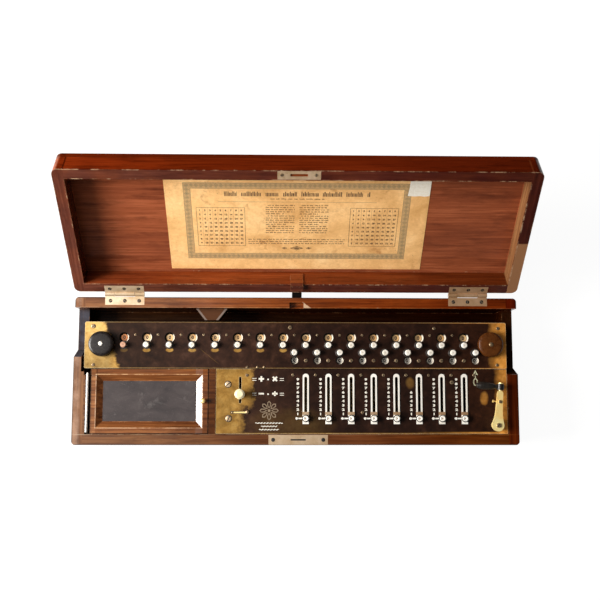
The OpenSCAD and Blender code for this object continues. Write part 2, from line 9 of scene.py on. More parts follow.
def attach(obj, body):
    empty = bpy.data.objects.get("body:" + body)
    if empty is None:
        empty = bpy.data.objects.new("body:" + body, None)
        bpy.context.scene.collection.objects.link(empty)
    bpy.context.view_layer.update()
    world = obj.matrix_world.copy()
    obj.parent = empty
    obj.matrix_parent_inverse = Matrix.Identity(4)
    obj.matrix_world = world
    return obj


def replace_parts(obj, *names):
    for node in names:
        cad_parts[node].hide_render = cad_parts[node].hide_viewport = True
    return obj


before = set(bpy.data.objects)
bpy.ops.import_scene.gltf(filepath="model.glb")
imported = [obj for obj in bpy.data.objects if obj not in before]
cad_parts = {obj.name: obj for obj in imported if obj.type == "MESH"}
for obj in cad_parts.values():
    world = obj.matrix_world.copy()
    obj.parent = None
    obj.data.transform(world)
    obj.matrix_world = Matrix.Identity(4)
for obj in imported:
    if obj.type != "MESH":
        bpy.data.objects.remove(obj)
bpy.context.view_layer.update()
MM = 0.001
random.seed(7)

# layout of the works, in millimetres, as in the part's source: first setting slot and digit spacing
FIRST, PITCH = 12, 30.2
SLOTS = [FIRST + PITCH * k for k in range(8)]
DIALS = [FIRST - 8 * PITCH + PITCH * k for k in range(16)]
COUNTS = [FIRST - PITCH / 2 + PITCH * k for k in range(9)]
# dials: middle, height of the number disc, distance of its numerals from the middle
RESULT_Y, RESULT_Z, RESULT_R = 34.0, 64.6, 9.9
COUNTER_Y, COUNTER_Z, COUNTER_R = 24.1, 62.6, 10.3
# sliders at nought and one digit's step
SLIDER_Y, STEP = -62.8, 5.7
PLATE_Z, CARRIAGE_Z = 66.0, 68.0
CRANK_X, CRANK_Y = 265, -71.5
KNOB_Y, LEFT_KNOB_X, RIGHT_KNOB_X = 35, -258.6, 258.2
HINGE_X, HINGE_Y, HINGE_Z, LID_OPEN = 229.5, 101.5, 70.2, math.radians(131)
HINGE_SCREWS = (-19, 0, 19)


# shader helpers

class Net:
    """Short calls for building one material's nodes."""

    def __init__(self, name):
        self.mat = bpy.data.materials.new(name)
        self.mat.use_nodes = True
        self.tree = self.mat.node_tree
        self.tree.nodes.clear()

    def add(self, kind, ins=None, **attrs):
        n = self.tree.nodes.new(kind)
        for k, v in attrs.items():
            setattr(n, k, v)
        for k, v in (ins or {}).items():
            self.put(n.inputs[k], v)
        return n

    def put(self, sock, v):
        if isinstance(v, bpy.types.NodeSocket):
            self.tree.links.new(v, sock)
        else:
            sock.default_value = (*v, 1) if sock.type == "RGBA" else v

    def coords(self, lid=False):
        """Part coordinates in metres; for the lid, as if it were shut."""
        co = self.add("ShaderNodeTexCoord").outputs["Object"]
        if lid:
            h = Vector((0, HINGE_Y * MM, HINGE_Z * MM))
            back = h - Matrix.Rotation(LID_OPEN, 3, "X") @ h
            co = self.turn(co, (LID_OPEN, 0, 0), back)
        return co

    def turn(self, vec, angles, shift=(0, 0, 0)):
        ins = {"Vector": vec, "Location": shift, "Rotation": angles}
        return self.add("ShaderNodeMapping", ins).outputs[0]

    def scale(self, vec, s):
        return self.add("ShaderNodeVectorMath", {0: vec, 1: s}, operation="MULTIPLY").outputs[0]

    def split(self, vec):
        return self.add("ShaderNodeSeparateXYZ", {0: vec}).outputs

    def mm(self, co):
        """The three coordinates in millimetres."""
        return self.split(self.scale(co, (1000, 1000, 1000)))

    def join(self, a, b, c):
        return self.add("ShaderNodeCombineXYZ", {0: a, 1: b, 2: c}).outputs[0]

    def math(self, op, a, b=0.0, c=0.0, clamp=False):
        return self.add("ShaderNodeMath", {0: a, 1: b, 2: c}, operation=op, use_clamp=clamp).outputs[0]

    def chain(self, op, values):
        out = values[0]
        for v in values[1:]:
            out = self.math(op, out, v)
        return out

    def mul(self, *values):
        return self.chain("MULTIPLY", values)

    def sum(self, *values):
        return self.chain("ADD", values)

    def any(self, *masks):
        return self.chain("MAXIMUM", masks)

    def less(self, a, b):
        return self.math("SUBTRACT", a, b)

    def abs(self, v):
        return self.math("ABSOLUTE", v)

    def over(self, v, limit):
        return self.math("GREATER_THAN", v, limit)

    def under(self, v, limit):
        return self.math("LESS_THAN", v, limit)

    def near(self, v, at, half):
        """1 where v is less than half away from at."""
        return self.under(self.abs(self.less(v, at)), half)

    def square(self, u, v):
        return self.sum(self.mul(u, u), self.mul(v, v))

    def noise(self, vec, scale, detail=4.0, rough=0.55, twist=0.0):
        ins = {"Vector": vec, "Scale": scale, "Detail": detail, "Roughness": rough, "Distortion": twist}
        return self.add("ShaderNodeTexNoise", ins).outputs["Fac"]

    def span(self, v, a, b, lo=0.0, hi=1.0):
        ins = {"Value": v, "From Min": a, "From Max": b, "To Min": lo, "To Max": hi}
        return self.add("ShaderNodeMapRange", ins, clamp=True).outputs[0]

    def ramp(self, fac, *stops):
        n = self.add("ShaderNodeValToRGB", {"Fac": fac})
        e = n.color_ramp.elements
        while len(e) < len(stops):
            e.new(0.5)
        for el, (p, c) in zip(e, stops):
            el.position = p
            el.color = (*c, 1)
        return n.outputs["Color"]

    def mix(self, fac, a, b, blend="MIX"):
        n = self.add("ShaderNodeMix", {0: fac, 6: a, 7: b}, data_type="RGBA", blend_type=blend)
        return n.outputs[2]

    def times(self, col, by):
        return self.mix(1.0, col, by, "MULTIPLY")

    def tint(self, col, mask, by):
        """Multiplies the colour by a tint where the mask is set."""
        return self.mix(mask, col, self.times(col, by))

    def cover(self, col, mask, share, with_col):
        """Lays a colour over another where the mask is set, at most by the share."""
        return self.mix(self.mul(mask, share), col, with_col)

    def along(self, x, *stops):
        """Tint that runs through the stops (place, tint) along x."""
        out = stops[0][1]
        for (a, _), (b, tint) in zip(stops, stops[1:]):
            out = self.mix(self.span(x, a, b), out, tint)
        return out

    def edge(self, radius):
        """1 along sharp edges, 0 on flat ground."""
        b = self.add("ShaderNodeBevel", {"Radius": radius}, samples=6).outputs[0]
        g = self.add("ShaderNodeNewGeometry").outputs["Normal"]
        d = self.add("ShaderNodeVectorMath", {0: b, 1: g}, operation="DOT_PRODUCT").outputs["Value"]
        return self.span(d, 0.985, 0.8)

    def bump(self, height, strength, distance):
        ins = {"Height": height, "Strength": strength, "Distance": distance}
        return self.add("ShaderNodeBump", ins).outputs[0]

    def shade(self, **ins):
        b = self.add("ShaderNodeBsdfPrincipled", {k.replace("_", " "): v for k, v in ins.items()})
        out = self.add("ShaderNodeOutputMaterial")
        self.tree.links.new(b.outputs[0], out.inputs[0])
        return self.mat


# woods: boards in millimetres, the case 590 by 195 outside and 562 by 167 inside, its rim at 70

RUBBED_AND_LIT = (0.36, 0.17, 0.075)


def lid_tints(n, col, co, x, y, z):
    """Tints of the lid's rim, rails, panel and outside, placed as if it were shut."""
    ax, ay = n.abs(x), n.abs(y)
    at_rim = n.span(z, 71.6, 70.8)
    # the rim that meets the case is dull and darkened by handling
    rim = n.mul(at_rim, n.span(n.noise(co, 30, 4), 0.3, 0.6, 0.75, 0.95))
    col = n.tint(col, rim, n.along(x, (-200, (0.32, 0.42, 1.1)), (200, (0.35, 0.25, 0.68))))
    # painted light falloff: the rails paler to the left, towards the lamp, and darker to the right; the front
    # face gets a tint of its own
    fade = n.span(x, -300, 300, 1.65, 0.7)
    col = n.times(col, n.mix(n.under(z, 96.2), (1, 1, 1), n.join(fade, fade, fade)))
    front = n.span(y, -97.1, -97.4)
    col = n.tint(col, front, n.along(x, (-100, (0.7, 0.34, 0.2)), (200, (0.84, 0.4, 0.3))))
    # inner faces of the back rail and of both end rails: painted shade on the left end rail, which faces away
    # from the lamp; the back rail darker, most at its left end, where the left rail's painted shadow falls;
    # painted light on the right end rail, which faces the lamp
    inner = n.mul(n.over(z, 71.6), n.under(z, 96.2))
    back_rail = n.along(x, (-270, (0.62, 0.52, 0.6)), (-120, (0.85, 0.7, 0.58)))
    for side, by in (
            (n.near(y, 83.5, 1), back_rail),
            (n.near(x, -281, 1), (0.4, 0.38, 0.4)),
            (n.near(x, 281, 1), (1.5, 2.9, 4.6))):
        col = n.tint(col, n.mul(side, inner), by)
    # painted light: the rear part of the rim's right end painted pale, as if lit by the lamp, with a sharp
    # shadow edge
    faded_and_lit = n.mul(n.span(y, 11.8, 13.4), at_rim, n.over(x, 281.2))
    col = n.cover(col, faded_and_lit, 0.75, RUBBED_AND_LIT)
    # rubbed and nicked lines along the edges of the rim
    lines = n.any(n.span(ay, 96.4, 97.1), n.mul(n.span(ay, 84.6, 83.8), n.under(ax, 282.4)),
                  n.span(ax, 293.9, 294.6), n.mul(n.span(ax, 282.2, 281.3), n.under(ay, 84.6)))
    lines = n.mul(lines, at_rim, n.span(n.noise(co, 48, 5, 0.75), 0.5, 0.6))
    col = n.cover(col, lines, 0.6, (0.52, 0.34, 0.2))
    # the panel inside was never in the light and kept its red
    panel = n.mul(n.under(ax, 281.2), n.under(ay, 83.8), n.near(z, 97.3, 1.1))
    col = n.tint(col, panel, (1.55, 1.75, 2.8))
    # the outside shares the red brown of the case
    walls = n.any(n.span(ax, 294.8, 294.95), n.span(y, 97.3, 97.45))
    outside = n.any(n.over(z, 99), n.mul(walls, n.span(z, 70.8, 71.6)))
    col = n.tint(col, n.mul(outside, n.less(1, front)), (0.62, 0.5, 0.42))
    return col, n.any(front, n.mul(outside, 0.85)), None


def case_tints(n, col, co, x, y, z):
    """Tints of the case's inside, rim, side boards, divider and bracket."""
    ax, ay = n.abs(x), n.abs(y)
    # painted shade: the inside of the case darkens with depth
    depth_shade = n.mul(n.under(ax, 281.3), n.under(ay, 83.8), n.span(z, 69.5, 60, 0, 0.92))
    col = n.tint(col, depth_shade, (0.14, 0.12, 0.11))
    # painted shade: the upward faces at the low rear ends of the side boards, below the rim, get a near-black
    # tone and are made matt
    up = n.split(n.add("ShaderNodeNewGeometry").outputs["Normal"])[2]
    low = n.mul(n.span(up, 0.15, 0.25), n.span(z, 69.8, 69), n.over(ax, 281.1))
    bare = n.ramp(n.noise(co, 60, 5, 0.65), (0.3, (0.022, 0.013, 0.01)), (0.7, (0.062, 0.042, 0.036)))
    col = n.cover(col, low, 0.88, bare)
    # painted highlight along the inner edge of the rim
    line = n.mul(n.span(ay, 84.8, 83.8), n.span(ay, 83.3, 83.5), n.span(z, 69.4, 69.8),
                 n.span(n.noise(co, 35, 5, 0.7), 0.38, 0.6))
    col = n.cover(col, line, 0.55, (0.5, 0.22, 0.1))
    # painted light falloff: paler at the left end, towards the lamp, and darker to the right; the back board
    # redder, the outside even
    falloff_tint = n.along(x, (-288, (0.84, 1.5, 2.4)), (-220, (0.78, 1.28, 1.6)),
                  (0, (0.55, 0.77, 1.2)), (200, (0.54, 0.54, 0.3)))
    behind = n.along(x, (-250, (0.91, 1.44, 2.0)), (-80, (1.09, 1.22, 1.05)),
                     (100, (0.82, 0.61, 0.32)), (220, (0.62, 0.36, 0.13)))
    falloff_tint = n.mix(n.span(y, 80, 83.5), falloff_tint, behind)
    outside = n.mul(n.any(n.span(ax, 294.6, 294.9), n.span(ay, 97.1, 97.4)), n.span(z, 69.7, 69))
    falloff_tint = n.mix(outside, falloff_tint, (0.66, 0.56, 0.46))
    falloff_tint = n.tint(falloff_tint, n.over(x, 281.1), (0.83, 0.5, 0.4))
    col = n.times(col, falloff_tint)
    # divider between the slate and the works
    wall = n.mul(n.near(x, -112, 4.8), n.near(y, -39.7, 43.7))
    col = n.tint(col, wall, (1.05, 0.88, 0.52))
    # bracket behind the carriage, its side slopes painted pale as if lit by the lamp
    half = n.less(17.8, n.mul(n.less(83.45, y), 0.787))
    lit_slopes = n.over(n.abs(n.sum(x, 114.7)), half)
    bracket = n.mul(n.span(up, 0.8, 0.9), n.span(z, 58, 57), n.span(z, 50, 54), n.over(y, 64),
                    n.near(x, -114.7, 22))
    col = n.cover(col, bracket, 0.9, n.mix(lit_slopes, (0.085, 0.035, 0.017), (0.2, 0.15, 0.125)))
    # left rim pale: rubbed, and a painted highlight from the lamp at the left
    pale = n.mul(n.span(x, -284, -288), n.span(z, 69.6, 69.9),
                 n.span(n.noise(co, 26, 5, 0.7), 0.42, 0.62, 0.1, 0.5))
    col = n.mix(pale, col, (0.46, 0.29, 0.2))
    # small chip on the inner edge of the back board
    chip = n.sum(n.math("DIVIDE", n.less(x, 8.5), 10.5), n.math("DIVIDE", n.less(y, 83.4), 8))
    chip = n.span(n.sum(chip, n.mul(n.noise(co, 300, 3), 0.3)), 1.2, 1.05)
    chip = n.mul(chip, n.over(x, 7.5), n.over(y, 83.2), n.over(z, 68.5))
    col = n.cover(col, chip, 0.75, (0.6, 0.42, 0.27))
    # a darker line along the outer edge of the rim
    verge = n.mul(n.any(n.span(ax, 293.6, 294.4), n.span(ay, 96.1, 96.9)), n.span(z, 68.8, 69.4),
                  n.span(n.noise(co, 40, 4, 0.7), 0.3, 0.6, 0.55, 0.9))
    return col, n.any(low, depth_shade, n.span(x, -100, 280, 0, 0.75)), verge


def frame_tints(n, col, co, x, y, z):
    """Tints of the slate's frame."""
    u, v = n.abs(n.sum(x, 194.9)), n.abs(n.sum(y, 40.3))
    # painted highlight along the ridges round the bevels
    ridge_highlight = n.any(n.mul(n.near(u, 70.3, 0.6), n.under(v, 35.8)),
                  n.mul(n.near(v, 35.2, 0.6), n.under(u, 70.9)))
    ridge_highlight = n.mul(ridge_highlight, n.span(n.noise(co, 70, 5, 0.7), 0.4, 0.58, 0.15, 0.75))
    col = n.mix(ridge_highlight, col, (0.55, 0.34, 0.19))
    # dark joint all round the frame
    joint = n.any(n.span(n.abs(n.sum(x, 194.7)), 76.4, 77), n.span(v, 41.6, 42.2))
    col = n.cover(col, joint, 0.85, (0.012, 0.006, 0.003))
    # the bar beside the pencil is paler and bluer, a painted sheen from the lamp at the left; the far bar
    # redder
    col = n.tint(col, n.span(x, -264.6, -265.8), (1.36, 1.6, 1.96))
    col = n.tint(col, n.span(y, -5.5, -4.5), (1.0, 0.9, 0.55))
    # the right bevel beside the slate keeps its polish
    return col, n.mul(n.near(x, -129, 4.6), -3), None


def wood(name, dark, mid, light, tints, lid=False, coat=0.0, spec=0.25):
    """Polished open-grained hardwood, its grain along the long boards and across the end boards."""
    n = Net(name)
    co = n.coords(lid)
    x, y, z = n.split(co)
    at_end = n.over(n.abs(x), 0.281)
    vec = n.add("ShaderNodeMix", {0: at_end, 4: co, 5: n.join(y, x, z)}, data_type="VECTOR").outputs[1]
    bands = n.noise(n.scale(vec, (9, 170, 170) if lid else (5, 85, 85)), 1, 7, 0.66, 0.8)
    streak = n.noise(n.scale(vec, (11, 330, 330)), 1, 5, 0.6, 0.5)
    broad = n.noise(n.scale(vec, (4, 14, 14)), 1, 3, 0.5, 0.4)
    pores = n.span(n.noise(n.scale(vec, (40, 1500, 1500)), 1, 4, 0.6), 0.6, 0.74)
    tone = n.sum(n.mul(bands, 0.36), n.mul(broad, 0.28), n.mul(streak, 0.4))
    spread = 1.5 if lid else 1.0
    col = n.ramp(tone, (0.53 - 0.12 * spread, dark), (0.53, mid), (0.53 + 0.11 * spread, light))
    col = n.cover(col, pores, 0.75 if lid else 0.55, tuple(c * 0.25 for c in dark))
    grime = n.span(n.noise(n.scale(vec, (16, 60, 60)), 1, 6, 0.7), 0.5, 0.7)
    col = n.cover(col, grime, 0.55, tuple(c * 0.6 for c in dark))
    col, matt, verge = tints(n, col, co, *n.mm(co))
    rub = n.mul(n.edge(0.0016), n.span(n.noise(co, 90, 5, 0.7), 0.46, 0.66))
    col = n.cover(col, rub, 0.6, RUBBED_AND_LIT)
    nick = n.mul(n.edge(0.0026), n.span(n.noise(co, 150, 4, 0.6), 0.66, 0.7))
    col = n.cover(col, nick, 0.7, (0.5, 0.36, 0.22))
    if verge is not None:
        col = n.mix(verge, col, (0.03, 0.015, 0.009))
    rough = n.sum(n.span(n.noise(co, 22, 5, 0.6), 0.3, 0.7, 0.13, 0.26), n.mul(pores, 0.05))
    h = n.less(n.mul(bands, 0.3), pores)
    return n.shade(Base_Color=col, Roughness=rough, Normal=n.bump(h, 0.3, 0.00008), Coat_Weight=coat,
                   Coat_Roughness=0.1, Specular_IOR_Level=n.mul(n.less(1, matt), spec))


def metal(name, low, high, stain, metallic, rough, brush=(60, 60, 60), stained=0.5, fade=(1, 1, 1)):
    """Brass or white metal with tarnish, fine brushing and rubbed edges; a tint darkens it to the right."""
    n = Net(name)
    co = n.coords()
    broad = n.noise(co, 55, 5, 0.6, 0.3)
    lines = n.noise(n.scale(co, brush), 20, 3, 0.6)
    col = n.ramp(broad, (0.32, low), (0.66, high))
    spots = n.span(n.noise(co, 190, 6, 0.72), 0.58, 0.74)
    col = n.cover(col, spots, stained, stain)
    col = n.cover(col, n.edge(0.0005), 0.6, high)
    x, y, _ = n.mm(co)
    col = n.tint(col, n.span(x, -100, 260), fade)
    # the stop behind the back board is made near black
    stop = n.mul(n.near(x, 0, 30), n.near(y, 104, 8))
    col = n.mix(stop, col, (0.011, 0.008, 0.007))
    r = n.sum(n.span(broad, 0.3, 0.7, rough[1], rough[0]), n.mul(spots, 0.15))
    return n.shade(Base_Color=col, Metallic=metallic, Roughness=r, Normal=n.bump(lines, 0.12, 0.0001))


def lacquer(name, wear, haze, tone):
    """Brown-black lacquer on brass; wear(net, x, y, ragged) gives the bare places, in millimetres."""
    n = Net(name)
    co = n.coords()
    x, y, _ = n.mm(co)
    ragged = n.mul(n.less(n.noise(co, 120, 6, 0.7), 0.5), 26)
    scuff = n.span(n.noise(co, 260, 5, 0.75), 0.64, 0.76)
    lines = n.noise(n.scale(n.turn(co, (0, 0, 0.6)), (60, 2600, 60)), 1, 2)
    scratch = n.mul(n.span(lines, 0.74, 0.8), 0.14)
    black, glint = windows(n, x, y)
    bare = n.math("MAXIMUM", wear(n, x, y, ragged), scratch, clamp=True)
    bare = n.mul(bare, n.less(1, black))
    # the lacquer, greyer in the middle and redder to the right
    dirt = n.noise(co, 75, 6, 0.65, 0.4)
    dark = n.ramp(dirt, (0.3, (0.009, 0.0036, 0.0018)), (0.55, (0.022, 0.0086, 0.004)),
                  (0.8, (0.05, 0.022, 0.011)))
    dark = n.cover(dark, scuff, 0.35, (0.16, 0.09, 0.05))
    shift = n.along(x, (-200, (1, 1, 1)), (-140, (1.6, 1.7, 2.1)), (-40, (1.35, 1.3, 1.4)),
                    (20, (0.75, 0.62, 0.6)), (190, (0.75, 0.62, 0.6)), (230, (1.05, 0.75, 0.5)))
    dark = n.times(dark, shift)
    dark = n.mix(black, dark, (0.002, 0.0012, 0.001))
    # the bare brass, spotted and brown in places
    brass = n.ramp(n.noise(co, 90, 6, 0.7, 0.5), (0.28, (0.26, 0.13, 0.028)), (0.5, (0.46, 0.265, 0.065)),
                   (0.75, (0.62, 0.4, 0.13)))
    spots = n.span(n.noise(co, 330, 4, 0.7), 0.62, 0.72)
    brass = n.cover(brass, spots, 0.55, (0.16, 0.085, 0.03))
    patina = n.span(n.noise(co, 28, 5, 0.65, 0.6), 0.36, 0.62, 0.6, 1.0)
    brass = n.times(brass, n.join(*(n.mul(patina, tone * k) for k in (1.0, 0.97, 0.9))))
    # painted light: brighter towards the right end against the lamp's falloff, in the crank's shadow, and at
    # the top of the left end
    painted_light = n.sum(n.span(x, 190, 272, 1.0, 1.6),
                 n.mul(n.span(x, 268, 274), n.span(y, -20, -40, 0, 0.9)),
                 n.mul(n.span(x, -236, -250), n.span(y, 8, 58, -0.3, 0.55)))
    warm = n.along(x, (-250, (0.84, 0.93, 1.25)), (-236, (1.0, 0.97, 0.92)), (60, (1.0, 0.97, 0.92)),
                   (270, (1.02, 0.76, 0.56)))
    brass = n.times(brass, n.times(warm, n.join(painted_light, painted_light, painted_light)))
    col = n.mix(bare, dark, brass)
    # bare edges lightened: partly wear, partly a painted highlight
    col = n.cover(col, n.mul(n.edge(0.0009), bare), 0.75, (0.95, 0.82, 0.55))
    # painted highlights on the right sides of the window bevels
    col = n.cover(col, glint, 0.62, (0.9, 0.8, 0.66))
    rough = n.add("ShaderNodeMix", {0: bare, 2: n.span(dirt, 0.3, 0.7, 0.42, 0.54), 3: 0.46}).outputs[0]
    h = n.less(n.mul(n.noise(co, 420, 3), 0.3), bare)
    return n.shade(Base_Color=col, Metallic=n.mul(bare, 0.3), Roughness=rough,
                   Normal=n.bump(h, 0.25, 0.0001), Specular_IOR_Level=haze)


def in_row(n, x, y, x0, y0):
    """Places relative to the nearest dial of a row that starts at x0, y0."""
    return n.math("WRAP", n.less(x, x0), PITCH / 2, -PITCH / 2), n.less(y, y0)


def windows(n, x, y):
    """Masks of the black bevels of the number windows and of the painted highlights on their right sides."""
    spots, sides = [], []
    # row's first window, radius of the hole and of the bevel, ends of the row, start of the painted highlight
    for x0, y0, hole, bevel, first, last, start in (
            (DIALS[0], RESULT_Y + RESULT_R, 5.1, 6.6, -240, 234, 1.6),
            (COUNTS[0], COUNTER_Y - COUNTER_R, 4.0, 4.9, -15, 250, 0.2)):
        u, v = in_row(n, x, y, x0, y0)
        r = n.math("SQRT", n.square(u, v))
        here = n.mul(n.over(x, first), n.under(x, last))
        spots.append(n.mul(n.span(r, bevel + 0.6, bevel), here))
        side = n.span(n.less(u, n.mul(v, 0.5)), start, start + 1.8)
        sides.append(n.mul(side, n.span(r, bevel + 0.1, bevel - 0.2), n.span(r, hole - 0.3, hole), here))
    return n.any(*spots), n.any(*sides)


def blob(n, u, v, rx, ry, ragged, outer, inner):
    """Soft-edged oval patch about u = v = 0."""
    d = n.square(n.math("DIVIDE", u, rx), n.math("DIVIDE", v, ry))
    return n.span(n.sum(d, ragged), outer, inner)


def plate_wear(n, x, y, ragged):
    """Bare brass of the fixed plate: its left part, right end, front edge and a few patches."""
    xr = n.sum(x, ragged)
    left = n.mul(n.span(xr, -55, -63), n.span(n.sum(y, ragged), -50, -44))
    low = n.mul(n.span(xr, -68, -80), n.span(y, -40, -44))
    right = n.mul(n.span(n.sum(x, n.mul(ragged, 0.3)), 263, 272), 0.95)
    front = n.any(n.span(y, -81.6, -82.3), n.mul(n.span(y, -80.2, -81.0), n.span(x, 150, 230)))
    rim = n.span(x, 276.8, 278.4)
    patches = []
    for cx, cy, rx, ry, soft, share in (
            (250, -36, 5, 8, 0.6, 0.8), (151, -16, 5, 7, 0.6, 0.3), (-8, -70, 48, 17, 0.9, 0.13)):
        patch = blob(n, n.less(x, cx), n.less(y, cy), rx, ry, n.mul(ragged, 0.05), 1 + soft, 1 - soft)
        patches.append(n.mul(patch, share))
    return n.any(left, low, right, front, rim, *patches)


def carriage_wear(n, x, y, ragged):
    """Bare brass of the carriage: its ends, edges, places under the pegs and one long scratch."""
    left = n.span(n.sum(x, n.mul(y, 0.32), n.mul(ragged, 0.7)), -232, -238)
    right = n.mul(n.span(n.sum(x, n.mul(ragged, 0.3)), 256, 270), 0.97)
    front = n.mul(n.span(y, 4.2, 3.5), n.span(x, 60, 230, 0.3, 1))
    back = n.mul(n.span(y, 63.3, 64.1), n.span(x, 150, 270, 0.25, 0.9))
    rim = n.any(n.span(x, -280.2, -280.9), n.span(x, 278.6, 279.6))
    u, v = in_row(n, x, y, DIALS[0], 27.1)
    touch = blob(n, u, v, 4.9, 2.6, n.mul(ragged, 0.04), 1.35, 0.7)
    touch = n.mul(touch, n.span(x, -8, -12), n.span(x, -215, -205, 0.15, 0.72))
    u, v = n.sum(x, 129), n.less(y, 29)
    off = n.sum(n.mul(u, 0.621), n.mul(v, 0.784), n.mul(ragged, 0.03))
    reach = n.less(n.mul(u, 0.784), n.mul(v, 0.621))
    scrape = n.mul(n.span(n.abs(off), 0.35, 0.1), n.span(reach, 0, 6), n.span(reach, 34, 26), 0.3)
    return n.any(left, right, front, back, rim, touch, scrape)


def dial_metal():
    """Silvered and gilt number disc below, bone peg above the carriage."""
    n = Net("dial_metal")
    co = n.coords()
    x, y, z = n.mm(co)
    peg, top, low = n.over(z, 65.5), n.over(z, 74.6), 62.9
    warm = n.ramp(n.noise(co, 45, 4, 0.6), (0.3, (0.46, 0.21, 0.065)), (0.5, (0.8, 0.5, 0.22)),
                  (0.72, (0.95, 0.8, 0.56)))
    stain = n.span(n.noise(co, 240, 5, 0.7), 0.58, 0.72)
    warm = n.cover(warm, stain, 0.5, (0.2, 0.1, 0.05))
    # the counter's discs lie lower and are silvered
    silver = n.ramp(n.noise(co, 70, 4, 0.6), (0.3, (0.84, 0.78, 0.68)), (0.6, (1.0, 0.97, 0.9)))
    disc = n.mix(n.under(z, low), warm, silver)
    bone = n.ramp(n.noise(co, 160, 4, 0.6), (0.3, (0.66, 0.6, 0.5)), (0.6, (0.86, 0.83, 0.76)))
    bone = n.cover(bone, top, 0.12, (0.45, 0.38, 0.3))
    # a greyed dimple on each peg
    for x0, y0 in ((DIALS[0], RESULT_Y), (COUNTS[0], COUNTER_Y)):
        r = n.math("SQRT", n.square(*in_row(n, x, y, x0, y0)))
        bone = n.cover(bone, n.mul(n.span(r, 1.5, 0.8), top), 0.6, (0.42, 0.38, 0.32))
    col = n.mix(peg, disc, bone)
    # the first dial is brown
    col = n.tint(col, n.under(x, -214), (0.62, 0.36, 0.26))
    gilt = n.mul(n.less(1, peg), n.over(z, low), 0.3)
    rough = n.span(n.noise(co, 200, 3), 0.3, 0.7, 0.3, 0.45)
    return n.shade(Base_Color=col, Metallic=gilt, Roughness=rough,
                   Normal=n.bump(n.noise(co, 700, 3), 0.1, 0.0001), Specular_IOR_Level=0.5)


def paper():
    """Browned and foxed sheet, darker along its edges."""
    n = Net("old_paper")
    co = n.coords(True)
    fibre = n.noise(n.scale(co, (300, 500, 300)), 1, 5, 0.65)
    cloud = n.noise(co, 14, 5, 0.6, 0.6)
    col = n.ramp(cloud, (0.25, (0.62, 0.32, 0.1)), (0.5, (0.92, 0.55, 0.225)), (0.75, (1.0, 0.68, 0.33)))
    col = n.mix(n.span(fibre, 0.35, 0.7, 0, 0.2), col, (0.5, 0.24, 0.08))
    # stains, mottling, foxing and specks
    for noise, a, b, share, tone in (
            ((21, 6, 0.7, 0.8), 0.55, 0.7, 0.38, (0.5, 0.23, 0.07)),
            ((150, 5, 0.72), 0.42, 0.68, 0.4, (0.56, 0.27, 0.085)),
            ((46, 4, 0.6, 0.3), 0.62, 0.7, 0.55, (0.36, 0.14, 0.035)),
            ((420, 2), 0.69, 0.75, 0.6, (0.2, 0.08, 0.025))):
        col = n.cover(col, n.span(n.noise(co, *noise), a, b), share, tone)
    col = n.cover(col, n.edge(0.006), 0.5, (0.34, 0.15, 0.045))
    crease = n.noise(n.scale(co, (18, 60, 18)), 1, 3)
    h = n.sum(fibre, n.mul(crease, 2))
    return n.shade(Base_Color=col, Roughness=n.span(fibre, 0.3, 0.7, 0.75, 0.92),
                   Normal=n.bump(h, 0.3, 0.00015), Specular_IOR_Level=0.25)


def slate():
    """Matt grey stone with grit, fine scratches and chalk left in its grain."""
    n = Net("slate")
    co = n.coords()
    cloud = n.noise(n.scale(co, (30, 45, 30)), 1, 6, 0.65, 0.5)
    col = n.ramp(cloud, (0.3, (0.03, 0.025, 0.026)), (0.55, (0.052, 0.042, 0.042)),
                 (0.8, (0.08, 0.068, 0.066)))
    grit = n.span(n.noise(co, 900, 2), 0.66, 0.76)
    col = n.cover(col, grit, 0.25, (0.3, 0.27, 0.25))
    lines = n.span(n.noise(n.scale(n.turn(co, (0, 0, 0.35)), (25, 1800, 25)), 1, 2), 0.72, 0.78)
    col = n.cover(col, lines, 0.22, (0.36, 0.33, 0.31))
    chalk = n.span(n.noise(co, 60, 5, 0.7), 0.6, 0.75)
    col = n.cover(col, chalk, 0.16, (0.4, 0.37, 0.35))
    h = n.less(n.noise(co, 500, 4), lines)
    return n.shade(Base_Color=col, Roughness=n.span(cloud, 0.3, 0.7, 0.5, 0.72),
                   Normal=n.bump(h, 0.25, 0.0001), Specular_IOR_Level=0.2)


def gloss(name, low, high, rough, worn, coat=0.0, wear=0.5, spec=0.5):
    """Polished hard surface with slight mottling, scuffs and rubbed edges."""
    n = Net(name)
    co = n.coords()
    cloud = n.noise(co, 110, 5, 0.62, 0.3)
    col = n.ramp(cloud, (0.3, low), (0.7, high))
    scuff = n.span(n.noise(co, 420, 5, 0.7), 0.6, 0.74)
    col = n.cover(col, scuff, 0.3, worn)
    col = n.cover(col, n.edge(0.0006), wear, worn)
    r = n.sum(n.span(cloud, 0.3, 0.7, *rough), n.mul(scuff, 0.2))
    return n.shade(Base_Color=col, Roughness=r, Normal=n.bump(n.noise(co, 600, 3), 0.1, 0.0001),
                   Coat_Weight=coat, Coat_Roughness=0.12, Specular_IOR_Level=spec)


def print_ink(name, tone, faded_and_lit, cover):
    """Printing ink or filled engraving, patchy where it is rubbed."""
    n = Net(name)
    co = n.coords()
    patch = n.span(n.noise(co, 380, 5, 0.75), 0.42, 0.7)
    col = n.cover(tone, patch, cover, faded_and_lit)
    return n.shade(Base_Color=col, Roughness=n.span(patch, 0, 1, 0.5, 0.75),
                   Normal=n.bump(n.noise(co, 900, 2), 0.1, 0.00005), Specular_IOR_Level=0.3)


